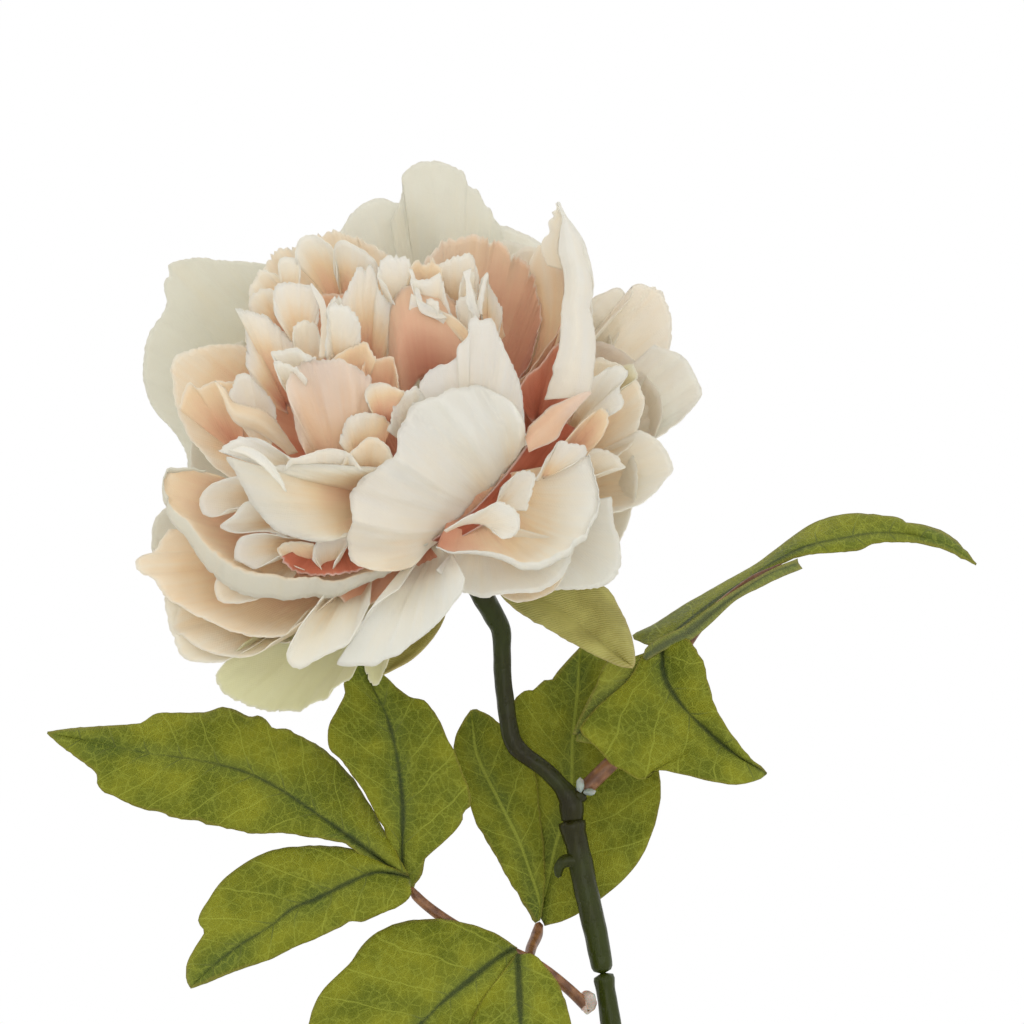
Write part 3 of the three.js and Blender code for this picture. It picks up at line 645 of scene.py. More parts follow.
calyx = new_cloth()
leaf(calyx, (-16, -27, -35), [
    (9, -13), (16, -17.5), (24, -22.5), (32, -29), (38.6, -34)], [
    (10, -11), (18, -12), (28, -14), (33.5, -17.5), (35.1, -20.4), (37.3, -24.7), (38.8, -30.1),
    (39, -32.7), (38.7, -33.9)], [
    (7.5, -14.5), (10.3, -18.8), (13.9, -22.1), (20.6, -26), (26.7, -29.5), (33.2, -32.7), (36, -33.8),
    (38.6, -34.2)], tilt=(0.2, -0.3), dome=1.5)
leaf(calyx, (-7, 3, 11), [
    (1, -2), (0.5, 4), (0, 10), (-1, 16), (-1.8, 21)], [
    (-2, -2), (-9, 3), (-13, 9), (-11, 15), (-6, 19), (-1.9, 21)], [
    (4, -2), (10, 3), (12.5, 9), (10, 15), (4, 19), (-1.7, 21)], dome=-1.5)
leaf(calyx, (-10, -8, -5), [
    (-3, -4), (-12, -3), (-22, -1), (-31.6, 0.4)], [
    (-2, -1), (-10, 6), (-20, 9), (-28, 6), (-31.6, 0.6)], [
    (-3, -7), (-11, -11), (-20, -11), (-28, -5), (-31.6, 0.2)], tilt=(0.84, -0.84), dome=-1.5)
leaf(calyx, (-15, -26, -38), [
    (-2, -8), (-7, -16), (-12, -25), (-16.5, -36)], [
    (-4, -7), (-13, -13), (-19, -21), (-20, -29), (-16.8, -36)], [
    (0, -9), (-1, -17), (-3, -25), (-9, -32), (-16.3, -36)], dome=-1.5)
leaf(calyx, (-9, -5, -1), [
    (4, -3), (13, -1), (23, 3), (32.7, 5.6)], [
    (4, 0), (12, 8), (22, 13), (30, 11), (32.7, 6)], [
    (5, -6), (14, -9), (24, -8), (30, -2), (32.7, 5.2)], tilt=(0.84, -0.84), dome=-1.5)
pressed("calyx_sepals", calyx, "calyx", sepal_cloth, LEAF_THICKNESS, "calyx")

cup_plastic, shader, place = new_material("cup_plastic", 0.45)
grain = place.clouds(380, 4)
feed(shader, "Base Color", grain.between(0.35, 0.7).mix(paint(70, 78, 34), paint(104, 108, 56)))
emboss(shader, grain, 0.4, 0.0008)
cup = bmesh.new()
rod(cup, [(-45.3, -15.8, 305.2), (-45, -14.5, 304.1), (-44.1, -11.2, 301.4), (-43.4, -8.5, 299.1),
          (-42.5, -5.3, 296.4), (-42, -3.4, 294.8)], [6, 8.6, 8.3, 6.6, 4.3, 3.3], sides=40, step=0.5)
finished("calyx_cup", cup, "calyx", cup_plastic, "calyx")

# Petals: helpers, cloth and core ------------------------------------------------------------------
# Petals are cut from fine polyester cloth, dip-dyed from rust at the claw to ivory at the raw rim, and
# heat-pressed to shape. They are threaded on a moulded core, which shows rust-brown in the gaps.

PETAL_THICKNESS = 0.22
SMOOTH_RIM_STEP = 0.7
PETAL_ROW = 1.2
FOLD_ROWS = 5
RIBBON_STEPS = 120
THREAD = 0.46
CORE_RADII = (12, 9, 12)
CORE_SPOT = (-4, 1, -22)


def petal(cloth, depth, rim, bulge=0, heat=(1, 0.1), tint=0, root=(0, 0, -16), teeth=0.2, wave=1, pleats=0.22,
          fold=None, claw=0.1, folds=None):
    """A petal that fans out from its root to the rim, a line of (across, up) points as the camera sees them.

    root is one point or three on a line, bulge is how far the middle stands towards the camera, and fold is
    a strip turned over at the rim. heat is how deep the dye is at the root and at the rim. depth and the heat
    at the rim are one value, or three: at its start, middle and end. teeth is how ragged the rim is, claw is
    how wide the root is for its rim, and folds are the depth and the number of the creases that run out to
    the rim. A tint below 0 is pinker, up to 1 greyer, and from there to 2 greener."""
    ragged_rim = teeth > 0.25
    line = flat_line(rim, 260)
    length = sum((b - a).length for a, b in zip(line, line[1:]))
    columns = max(14, int(length / (RIM_STEP if ragged_rim else SMOOTH_RIM_STEP)))
    edge = [seen(p.x, p.y, through(depth, i / columns))
            for i, p in enumerate(flat_line(rim, columns, 0.3 if teeth >= 0.25 else 1.0))]
    folds = folds or ((0.9, 1.4) if ragged_rim else (0, 1))
    middle = sum(edge, Vector()) / len(edge)
    roots = route(*root) if isinstance(root, list) else None
    base = sum(roots, Vector()) / len(roots) if roots else seen(*root)
    reach = sum((p - base).length for p in edge) / len(edge)
    out = sum(((a - base).cross(b - base) for a, b in zip(edge, edge[1:])), Vector()).normalized()
    out = out if out.y < 0 else -out
    key = rim[0][0] * 1.7 + rim[-1][1] * 0.9
    turned = Vector((fold[0], fold[2], fold[1])) if fold else Vector()
    body_rows = max(10, int(reach / PETAL_ROW))
    rows = body_rows + (FOLD_ROWS if fold else 0)

    def shape(s, t):
        t = t * rows / body_rows
        spot = min(int(s * columns + 1e-6), columns - 1)
        tip = edge[spot].lerp(edge[spot + 1], s * columns - spot)
        start = through(tuple(roots), s) if roots else base + (tip - middle) * claw
        inner = min(t, 1)
        ragged = abs(noise.noise(Vector((s * length / (0.7 + teeth * 0.5), key, 5))))
        ragged = (0.3 - 1.8 * ragged) * teeth * 1.8 * inner**8
        point = start.lerp(tip, inner) + (tip - start).normalized() * ragged
        point += out * bulge * sin(pi * inner**1.2) * (0.3 + 0.7 * sin(pi * s) ** 0.6)
        point += out * ripple(s * length, inner * reach, key, wave, pleats, inner * inner)
        point += out * folds[0] * (0.6 - 1.3 * abs(sin(pi * folds[1] * s + key))) * inner
        if t > 1:
            share = (t - 1) * body_rows / FOLD_ROWS
            point += turned * share * sin(pi * s) ** 1.3 + out * sin(pi * share) * 0.7
        rim_heat = through(heat[1], s)
        heat_here = rim_heat + (heat[0] - rim_heat) * (1 - inner)
        heat_here += 0.16 * noise.noise(Vector((s * length / 9, inner * 1.5, key + 11))) * (1.2 - inner)
        heat_here *= 1 - min(1, max(0, t - 1) * body_rows)
        free = (rows / body_rows - t) * reach
        raw = min(free, (s * length + 1) * inner, ((1 - s) * length + 1) * inner)
        shade = tint if t <= 1 else turned.length / 7
        return point, heat_here, shade, raw, s * length, inner * reach

    lay(cloth, columns, rows, shape, key)


def ribbon(cloth, depth, left, right, bulge=0, heat=(1, 0.1), tint=0, teeth=0.16, wave=1, pleats=0.22):
    """A long petal between a left and a right edge, both given from its foot to its tip."""
    sides = [flat_line(points, RIBBON_STEPS) for points in (left, right)]
    length = sum((b - a).length for a, b in zip(sides[0], sides[0][1:]))
    width = max((b - a).length for a, b in zip(*sides))
    columns, rows = max(8, int(width / RIM_STEP)), max(12, int(length / RIM_STEP))
    key = left[0][0] * 1.3 + right[-1][1] * 0.7

    def shape(s, t):
        spot = min(int(t * RIBBON_STEPS), RIBBON_STEPS - 1)
        ends = [side[spot].lerp(side[spot + 1], t * RIBBON_STEPS - spot) for side in sides]
        place = ends[0].lerp(ends[1], s)
        loose = abs(2 * s - 1) ** 2
        stand = bulge * sin(pi * s) + ripple(s * width, t * length, key, wave, pleats, loose)
        stand *= min(1, (ends[1] - ends[0]).length / 4)
        heat_here = heat[0] + (heat[1] - heat[0]) * t + 0.1 * noise.noise(Vector((s * 3, t * 3, key)))
        ragged = noise.noise(Vector((t * length / 1.1, s, key))) * teeth * loose
        point = seen(place.x + ragged, place.y, through(depth, t) - stand)
        return point, heat_here, tint, min(s, 1 - s) * width, s * width, t * length

    lay(cloth, columns, rows, shape, key)


petal_cloth, shader, place = new_material("petal_cloth", 0.78, Specular_IOR_Level=0.25, Sheen_Weight=0.25)
heat, edge, tint = place.stored("wear").parts()
along = place.stored("along")
flat = place.stored("flat")
flat_x, flat_y, _ = flat.parts()
streak = along.scaled(0.55, 0.06, 1).clouds(1.0, 4, Roughness=0.6)
dyed = heat + (streak - 0.5) * 0.22 + (place.clouds(150, 3) - 0.5) * 0.18
dye = place.node("ValToRGB", {0: dyed * 0.8}, stops=(
    (0.0, colour(240, 242, 239)), (1.0, colour(150, 66, 38)), (0.16, colour(245, 238, 221)),
    (0.32, colour(245, 219, 180)), (0.48, colour(238, 192, 156)), (0.62, colour(226, 162, 130)),
    (0.8, colour(200, 112, 84))))
petal_colour = tint.between(0, 1.0).mix(dye, paint(232, 231, 219), blend_type="MULTIPLY")
petal_colour = ((tint * -1).between(0, 1.0) * 0.6).mix(petal_colour, paint(218, 158, 138))
petal_colour = (tint.between(1.2, 2.0) * 0.8).mix(petal_colour, paint(214, 214, 150))
white_rim = 1 - (edge + (streak - 0.5) * 0.5).between(0.15, 0.6)
feed(shader, "Base Color", (white_rim * 0.4).mix(petal_colour, paint(246, 243, 232)))
weave = ((flat_x * (2 * pi / THREAD)).maths("SINE") + (flat_y * (2 * pi / THREAD)).maths("SINE")) * 0.5
slub = flat.scaled(0.9, 4.5, 1).clouds()
crease = along.scaled(1.3, 0.09, 1).clouds()
crumple = flat.scaled(0.35, 0.35, 1).clouds(1.0, 3)
emboss(shader, weave * 0.05 + slub * 0.06 + crease * 0.28 + crumple * 0.55, 0.55, 0.001)
glow = shader.id_data.nodes.new("ShaderNodeBsdfTranslucent")
glow.inputs["Color"].default_value = paint(250, 246, 236)
blend = shader.id_data.nodes.new("ShaderNodeMixShader")
feed(blend, "Fac", (0.52 - dyed * 0.26).clamped())
shader.id_data.links.new(shader.outputs[0], blend.inputs[1])
shader.id_data.links.new(glow.outputs[0], blend.inputs[2])
shader.id_data.links.new(blend.outputs[0], shader.id_data.nodes["Material Output"].inputs[0])

core_plastic, shader, place = new_material("core_plastic", 0.7)
grain = place.clouds(300, 4)
feed(shader, "Base Color", grain.between(0.3, 0.7).mix(paint(150, 84, 60), paint(176, 104, 76)))
emboss(shader, grain, 0.4, 0.001)
core = bmesh.new()
bmesh.ops.create_uvsphere(core, u_segments=64, v_segments=40, radius=1)
for vert in core.verts:
    lump = 1 + 0.08 * noise.noise(vert.co * 3)
    vert.co = Vector(v * r * lump * MM for v, r in zip(vert.co, CORE_RADII)) + seen(*CORE_SPOT) * MM
finished("bloom_core", core, "petals", core_plastic, "bloom")

# Guard petals -------------------------------------------------------------------------------------
# The outermost whorl: broad grey-ivory cloth petals that lean back behind the bowl. The lower ones show
# their peach inner faces, and one is pale green.

back_guards = new_cloth()
petal(back_guards, (14, 18, 14), [
    (-40, 44), (-36, 51), (-28, 53), (-20, 56), (-12, 60), (-2, 61), (6, 56), (14, 48)], bulge=-10,
    heat=(0.5, 0.1), tint=0.6)
petal(back_guards, (-4, -6, -14), [
    (0, 52), (8, 58), (16, 57), (24, 51), (30, 44), (34, 36), (32, 27)], bulge=-13, heat=(0.5, 0.1),
    tint=0.4)
petal(back_guards, (-16, -26, -36), [
    (26, 38), (34, 36), (41, 30), (45, 23), (43, 15), (38, 8), (30, 2)], bulge=-12, heat=(0.5, 0.1),
    tint=0.4)
petal(back_guards, (-40, -46, -48), [
    (38, 14), (40, 7), (38, -1), (34, -10), (28, -15), (19, -16), (8, -13)], bulge=-9, heat=(0.5, 0.1),
    tint=0.3)
petal(back_guards, (-46, -50, -44), [
    (4, -13), (-4, -15), (-18, -23), (-32, -28), (-46, -28), (-55, -24), (-60, -14)], bulge=-9,
    heat=(0.5, 0.1), tint=0.3)
petal(back_guards, (-38, -28, -20), [
    (-56, -16), (-60, -6), (-58, 4), (-57, 14), (-57, 24), (-54, 32), (-46, 37)], bulge=-12,
    heat=(0.4, 0.05), tint=0.8)
petal(back_guards, (10, 14, 10), [
    (-58, 24), (-62, 34), (-59, 44), (-52, 49), (-42, 50), (-32, 49)], bulge=-12, heat=(0.4, 0.05),
    tint=0.7)
pressed("petals_guard_backing", back_guards, "petals", petal_cloth, PETAL_THICKNESS, "bloom")

back_guards = new_cloth()
petal(back_guards, (4, 2, -10), [
    (-38, 51), (-41, 53), (-47, 54.2), (-52, 54.8), (-56.5, 55), (-60, 54.3), (-62, 53.2), (-62, 51.5),
    (-63.2, 49), (-62.6, 46), (-63, 44), (-65.5, 40.5), (-66.3, 39), (-67.3, 34), (-67.5, 30), (-67, 25.5),
    (-65, 21.5), (-61, 17), (-58.5, 13), (-57.6, 8)], bulge=-8, heat=(0.16, 0), tint=0.9)
petal(back_guards, (8, 10, 10), [
    (-31, 53), (-27, 58.5), (-24.5, 60.8), (-22, 64.5), (-19, 67), (-16, 67.8), (-13.5, 67.2),
    (-11.8, 66.8), (-8, 66), (-4, 61)], bulge=-8, heat=(0.18, 0), tint=0.6)
petal(back_guards, 8, [
    (-14, 62), (-12, 67), (-11.3, 70), (-11.4, 72.5), (-9, 74.8), (-6, 75.6), (-3.5, 75.6), (-1.5, 74.9),
    (1.8, 73.4), (3, 70.4), (5, 69.5), (6.3, 67), (8, 65.6), (8.6, 63.8), (10.2, 61.5), (11, 57)], bulge=-8,
    heat=(0.2, 0), tint=0.7)
petal(back_guards, 12, [
    (5, 60), (10.5, 61.5), (12.5, 60.8), (15, 59.8), (17, 58.5), (18.8, 57.2), (22, 54), (25, 48)],
    bulge=-8, heat=(0.3, 0.02), tint=0.5)
petal(back_guards, -10, [
    (27, 42), (30, 46), (32, 47), (34, 48), (35.5, 48.2), (36.7, 47.3), (37.2, 45.8), (36.5, 42),
    (35.5, 38), (34, 34), (33, 30)], bulge=-6, heat=(0.5, 0.08), tint=0.2)
petal(back_guards, -14, [
    (34, 42), (37.5, 45.3), (38.5, 47), (38.4, 48.5), (39.5, 49.1), (41, 49), (42.5, 48.3), (43.5, 48.7),
    (44, 48), (45, 47.6), (45.6, 45.5), (46.5, 43.5), (46.9, 41.5), (47, 39), (46.5, 35), (44, 30)],
    bulge=-6, heat=(0.6, 0.12))
petal(back_guards, (-26, -28, -32), [
    (43, 36), (46.5, 34.6), (48.5, 34), (50.3, 32.5), (51.7, 30), (52.6, 28), (53.4, 25.7), (52.5, 24),
    (50.5, 21.8), (48.5, 19.3), (47, 18), (45.5, 16.6), (43.6, 15.5), (40, 12)], bulge=-6,
    heat=(0.35, 0.02), tint=0.3, pleats=0.7)
petal(back_guards, (-44, -46, -46), [
    (39.8, 17.5), (43.6, 15.5), (45.5, 13.5), (46.8, 11), (47.3, 8.8), (45.5, 6.3), (43, 3.8), (40, 1.5),
    (37, 0.3), (34.5, -0.5), (30, -2)], bulge=-5, heat=(0.65, 0.08), tint=0.1, pleats=0.5,
    root=(14, 4, -36))
petal(back_guards, -36, [
    (-59, 7), (-61.5, 1.5), (-64, -0.5), (-65.3, -2.5), (-65.8, -6), (-65.8, -8.5), (-63, -14)], bulge=-5,
    heat=(0.3, 0.02), tint=0.8)
pressed("petals_guard_back", back_guards, "petals", petal_cloth, PETAL_THICKNESS, "bloom")

low_guards = new_cloth()
petal(low_guards, -52, [
    (34, 3), (34.5, -3), (35.5, -6), (36, -9), (36, -12), (35, -14.5), (33, -16.2), (30, -17), (27, -17.3),
    (23, -17.2), (20, -17.8), (15, -16)], bulge=-3, heat=(0.12, 0), tint=0.2, root=(14, -2, -48))
petal(low_guards, -54, [
    (8, -15), (10, -18.3), (11, -19), (13, -19.8), (16, -19.8), (19, -19), (21.5, -17.7), (24, -14)],
    bulge=-3, heat=(0.7, 0.3), root=(4, -4, -46))
petal(low_guards, -58, [
    (-4, -13), (0.8, -17.3), (3, -18), (5, -18.7), (7, -18.9), (9, -18.5), (12, -18), (15, -18),
    (18, -17.7), (20.5, -16.5), (23, -14.5), (24.3, -12.5), (25, -11), (26, -7)], bulge=-3, heat=(0.35, 0),
    root=(6, -3, -54))
petal(low_guards, (-50, -57, -57), [
    (-62, -4), (-65.5, -8.7), (-68, -9.5), (-69.6, -11), (-67.8, -14), (-65.5, -14.6), (-64, -17),
    (-62.8, -18.8), (-60, -20.5), (-57, -22.5), (-54, -24), (-50, -25.8), (-46, -26.9), (-42, -27.5),
    (-39, -27.5), (-37, -27.2), (-35, -25.5), (-33, -24.3), (-31.3, -23.3), (-26, -19)], bulge=-5,
    heat=(0.95, 0.28), root=(-15, -3, -44))
petal(low_guards, (-48, -53, -53), [
    (-61, -12), (-62.9, -19), (-62.8, -21), (-62.3, -23), (-61.8, -25.5), (-60.5, -29), (-59.3, -31.5),
    (-58, -32.5), (-55, -33.3), (-52, -33.4), (-50, -33.2), (-44, -30)], bulge=-5, heat=(0.8, 0.16),
    tint=0.2, root=(-15, -6, -40))
petal(low_guards, (-52, -55, -55), [
    (-60, -20), (-61, -25.5), (-58.5, -27.5), (-55, -30.2), (-51, -31.6), (-46, -32), (-42, -31),
    (-39, -29), (-36.5, -27), (-32, -22)], bulge=-5, heat=(0.85, 0.22), root=(-15, -5, -42))
petal(low_guards, (-60, -65, -62), [
    (-29, -20), (-31, -23.3), (-33.5, -26), (-35.5, -29), (-36.5, -31.3), (-36, -33), (-34.5, -34.2),
    (-33, -34.2), (-31, -33), (-28, -31.5), (-25, -30.7), (-23, -29.7), (-21.5, -27), (-20, -24),
    (-18.5, -20)], bulge=2, heat=(0.49, 0.08), root=(-18, -10, -42))
petal(low_guards, -64, [
    (-12, -17), (-16, -19.5), (-18.5, -21.5), (-21, -25.5), (-22, -27.5), (-23.5, -30), (-25.5, -33.5),
    (-23, -33.8), (-19, -34), (-17, -33.8), (-15.5, -32.7), (-12, -31.5), (-9, -28.8), (-5.5, -26),
    (-2, -22.5), (0, -19.5), (1.5, -17.5), (2, -14)], bulge=3, heat=(0.2, 0), root=(-4, -7, -48),
    pleats=0.15)
petal(low_guards, -54, [
    (-46, -29), (-50, -33.2), (-51.7, -35.5), (-51.8, -37), (-50.5, -39.5), (-47.5, -41.5), (-44, -43),
    (-40, -43.6), (-36, -43.3), (-33.5, -43.4), (-31.5, -42), (-30, -41.5), (-27.5, -40.7), (-27, -39.2),
    (-24.5, -37.5), (-22.5, -36.5), (-21.8, -35), (-20, -30)], bulge=-5, heat=(0.35, 0.04), tint=1.9,
    root=(-12, -8, -42), teeth=0.3)
petal(low_guards, -56, [
    (-20, -31), (-19.5, -34.2), (-18.5, -37), (-17.7, -38.3), (-16.5, -37.8), (-15.8, -36), (-14, -31)],
    heat=(0.35, 0.08), tint=1.9, root=(-12, -12, -36), teeth=0.5)
# A guard petal under the bowl's left rim, dyed deep rust to peach right out to its rim: painted shade for the
# shadow that falls on it there.
petal(low_guards, -56, [
    (-26, -18), (-22, -21), (-15, -19.5), (-9, -17.5), (-4, -16.5), (0, -15)], heat=(1, 0.7),
    root=(-10, -4, -46))
petal(low_guards, -58.5, [
    (-49, -11), (-51.5, -14.5), (-52, -16), (-51.8, -18), (-51, -19.5), (-48.5, -20), (-46, -20),
    (-43.5, -19.5), (-41, -18.5), (-36, -16)], heat=(0.6, 0.2), root=(-30, -6, -50))
pressed("petals_guard_low", low_guards, "petals", petal_cloth, PETAL_THICKNESS, "bloom")

# Bowl petals --------------------------------------------------------------------------------------
# Deeply cupped petals that hold the heart: two serrated ones behind, a large white one in front, one
# tall white one on the right, and one below on the left with its rim folded outwards.

back_bowl = new_cloth()
petal(back_bowl, (-26, -22, -24), [
    (-45, 30), (-45.5, 37), (-44.6, 45.5), (-44.2, 49), (-42.8, 50.5), (-42, 52.5), (-40.3, 55),
    (-38, 56.6), (-36, 57), (-33.5, 58.8), (-30.5, 59.8), (-30, 60.4), (-27, 60.5), (-26.2, 61),
    (-24.3, 60.6), (-23.5, 60), (-21, 59.6), (-20.5, 59), (-18.5, 58), (-17, 57), (-16.5, 56.4), (-15, 56),
    (-14.5, 55.2), (-11, 49)], bulge=-7, heat=(0.9, 0.26), root=(-10, 8, -32), teeth=0.6, wave=1.6,
    folds=(1.6, 5))
petal(back_bowl, (-28, -34, -44), [
    (-40, 35), (-45.3, 35.5), (-48, 36), (-51, 36.2), (-54, 35.7), (-57, 35), (-60, 34), (-61.5, 32),
    (-61.5, 30), (-61, 28), (-61, 25.5), (-60.3, 22), (-59, 19), (-57.5, 16), (-55, 13), (-52, 9.5),
    (-49.5, 7.5), (-44, 4)], bulge=-6, heat=(1.25, 0.25), root=(-16, 8, -40), teeth=0.24)
petal(back_bowl, (-30, -29, -34), [
    (-10, 48), (-5.8, 54.8), (-3.5, 57), (-3, 58.5), (-1, 58.8), (2, 59.3), (4, 59.5), (6, 59), (8.5, 58.5),
    (10.5, 57.3), (12, 56), (12.5, 54.8), (14.3, 54.5), (15.2, 53.5), (16.2, 53), (16.5, 51.3),
    (17.3, 50.5), (17.8, 48.5), (18.2, 46.5), (18.9, 42.5), (18.9, 41.3), (18.3, 39.5), (18, 37.5),
    (17.3, 35.8), (16.9, 33.5), (15.8, 31), (14.3, 29.2), (12, 25)], bulge=-8, heat=(1.1, (0.2, 0.5, 1)),
    tint=-0.4, root=(1, 8, -34), teeth=0.9, folds=(0.5, 3))
petal(back_bowl, -20, [
    (11, 54), (15, 57), (18, 57), (20, 57.2), (21.5, 56.8), (22.3, 55.5), (22.5, 54), (22, 52.5), (21, 47)],
    bulge=-3, heat=(0.5, 0.15), root=(14, 34, -22))
ribbon(back_bowl, (-30, -28.5, -27), [
    (14.3, 27.5), (17, 33), (18.3, 38), (18.4, 43), (17.3, 48), (16, 53), (18, 57.5)], [
    (14.8, 27), (19, 31), (22.3, 36), (23.4, 42), (23.8, 48), (23.6, 53), (21.5, 57.5)], heat=(0.6, 0.22))
petal(back_bowl, -18, [
    (15, 46), (18.5, 47), (20, 42), (20, 38), (17.5, 33), (14, 27)], bulge=-2, heat=(0.6, 0.25),
    root=(13, 28, -18))
petal(back_bowl, -19, [
    (22, 52), (27, 50), (28, 40), (27, 30), (26, 22)], bulge=-2, heat=(0.6, 0.25), root=(20, 28, -20))
petal(back_bowl, (-38, -54, -44), [
    (27, 24), (29, 28.5), (29.8, 34), (29.4, 40), (29, 46), (29.3, 51), (27.6, 56.5), (25, 61.5),
    (22.7, 65.5)], heat=(1.2, 0.05), root=[(22, 16, -20), (27, 36, -16), (22, 54, -22)])
petal(back_bowl, -36, [
    (24, 42), (22.7, 38), (20, 34.5), (17, 30.5), (15, 28.8), (12, 27)], bulge=-3, heat=(1.1, 0.6),
    root=(16, 16, -28))
pressed("petals_bowl_back", back_bowl, "petals", petal_cloth, PETAL_THICKNESS, "bloom")

front_bowl = new_cloth()
petal(front_bowl, (-56, -61, -58), [
    (-54, 8), (-57, 8.6), (-62, 9.2), (-63, 7.5), (-62.8, 4), (-61.5, 1), (-59.5, -0.8), (-58, -1.8),
    (-56.5, -3.8), (-54, -7), (-50, -10.5), (-46, -13), (-42, -14.5), (-38, -15), (-34, -15), (-30, -14.5),
    (-26, -15), (-22, -14.3), (-18, -13.3), (-14, -12.5), (-10, -9.8), (-6, -7.8)], bulge=-9,
    heat=(1.15, 0.34), root=(-20, 2, -44), fold=(-0.6, -5, 1.4), pleats=0.5)
petal(front_bowl, -59.5, [
    (-38, -11), (-36, -13), (-31, -14), (-26, -14.4), (-22, -13.6), (-18, -12)], heat=(1.2, 1),
    root=(-27, -6, -55), teeth=0.3)
petal(front_bowl, -58, [
    (-44, -0.5), (-49, 0.2), (-51, -1), (-53, -1.5), (-55, -0.5), (-55.5, 1.5), (-55, 3.5), (-52.5, 5.8),
    (-48, 7.2), (-43, 8)], heat=(0.7, 0), root=(-36, 3, -50))
petal(front_bowl, -60, [
    (-37, -6), (-41, -4.6), (-45, -4.8), (-48, -4.8), (-51, -3.5), (-48.5, -1.5), (-47, 0.5), (-45, 2),
    (-40, 4)], heat=(0.8, 0), root=(-32, -2, -52))
petal(front_bowl, -60, [
    (-38, -10), (-42.5, -12.5), (-43.5, -12.8), (-46, -11.5), (-47.7, -10.5), (-47.7, -9), (-47.5, -7.5),
    (-46.5, -6), (-44.5, -5.3), (-42, -5), (-40, -5.2), (-36, -6)], heat=(0.7, 0), root=(-30, -7, -53))
petal(front_bowl, -60, [
    (-33, -13), (-36.5, -11.2), (-38.5, -8), (-37, -7), (-35, -6.7), (-32, -7), (-30.5, -7.3),
    (-30.3, -8.5), (-30, -10.5), (-29, -12.5)], heat=(0.9, 0.25), root=(-29, -14, -55))
petal(front_bowl, -61, [
    (-31, -11), (-30.3, -7.5), (-29, -6.3), (-26, -5.3), (-23.5, -5), (-22.9, -7), (-24, -8.3), (-26, -11)],
    heat=(0.5, 0), root=(-27, -14, -56))
petal(front_bowl, (-62, -68, -60), [
    (-9, -9.4), (-12, -11), (-16, -12.4), (-19.5, -12.3), (-22, -11.5), (-22.5, -9.5), (-22.9, -7.5),
    (-23.3, -4), (-23.3, -2), (-22.8, 1), (-22, 3.5), (-19, 7), (-16, 10.5), (-13.8, 13.5), (-11, 18.5),
    (-8.9, 21.9), (-5.4, 24.9), (-1.3, 26.2), (2, 26), (5.2, 26.2), (7.5, 25.8), (9.5, 24.9), (12.1, 23.6),
    (14.7, 19.7), (15.3, 17), (16.4, 15.5)], bulge=7, heat=(0.2, (0.42, 0, 0)),
    root=[(-8, -10, -57), (5, 1, -52), (15, 14, -54)], wave=2.6, pleats=0.4, folds=(3.2, 5))
petal(front_bowl, (-60, -59, -57), [
    (-11, 17), (-10.5, 21), (-9, 24.5), (-8, 26.5), (-7.5, 28), (-6.3, 29.5), (-4, 31.2), (-1.5, 31.8),
    (0.4, 33.3), (0.4, 35), (1, 36.5), (2.5, 37.8), (3, 39), (3, 41), (4.5, 42.5), (5.3, 41.3), (7.3, 41.8),
    (8.5, 41), (9, 39.5), (10, 37), (11.3, 34), (12.8, 31), (14, 28), (14.6, 25.5), (15, 22), (15.3, 17)],
    bulge=5, heat=(0.3, 0), root=(2, 2, -46), folds=(0.7, 3))
petal(front_bowl, (-64, -66, -66), [
    (-17, -5), (-23.5, -5), (-27, -6), (-29.5, -6.9), (-32, -6.5), (-35, -5.8), (-38.5, -4.5), (-41, -2.5),
    (-43, 0), (-44.5, 2), (-46, 5), (-47.5, 8), (-49.5, 11.5), (-45, 10), (-41, 9.5), (-35, 10), (-29, 10),
    (-22, 9.5), (-14, 9)], bulge=6, heat=(0.75, 0), tint=0.4,
    root=[(-17, -4, -54), (-15, 2, -52), (-15, 8, -56)])
petal(front_bowl, -63, [
    (-27, 10), (-35.5, 10.8), (-37, 12.3), (-39.5, 14), (-42, 15.5), (-45, 16), (-47, 16), (-49, 15),
    (-50.5, 14), (-51.5, 13.3), (-49.7, 12.5), (-47.5, 12), (-45, 11.5), (-42, 10), (-34, 7)], bulge=2,
    heat=(0.5, 0), root=(-24, 5, -54), teeth=0.35, folds=(0.3, 1))
ribbon(front_bowl, (-66, -69, -69), [
    (-49, 12.9), (-45.5, 12), (-42, 9.8), (-39.2, 7), (-36.7, 4)], [
    (-46, 14), (-43, 13), (-40, 10.6), (-38, 7.6), (-36.4, 4.1)], heat=(0.05, 0), teeth=0.3)
petal(front_bowl, -67, [
    (-37, 9), (-35.5, 12), (-34, 12.5), (-31, 13.3), (-28.5, 13.6), (-25, 12.8), (-23.2, 12), (-20, 9)],
    bulge=2, heat=(0.5, 0.1), root=(-28, 4, -54))
petal(front_bowl, -66, [
    (-25, 9), (-23, 12.3), (-21, 14), (-19, 15.8), (-17.5, 16.2), (-15.5, 15.5), (-14, 14), (-13, 9)],
    bulge=2, heat=(0.7, 0.25), root=(-19, 3, -54))
ribbon(front_bowl, (-52, -54, -44), [
    (19.4, 23.9), (20, 25.5), (20.5, 27.5), (21.3, 29.5), (21.2, 31), (22, 33), (22.7, 36), (23, 40),
    (23.2, 44), (23.8, 48), (23.5, 52), (22.5, 56), (22.8, 60), (23.3, 63.5), (22.2, 66.8)], [
    (28.2, 24.6), (29.2, 25.8), (29.8, 28), (30.2, 31.5), (30.5, 35), (30.3, 38.5), (29.8, 41.5),
    (29.3, 44), (29.8, 46), (30, 48), (29.8, 51.5), (29, 55), (27.8, 58.5), (26, 61.3), (24, 64),
    (22.6, 66.8)], bulge=2.5, heat=(0.12, 0), pleats=0.4)
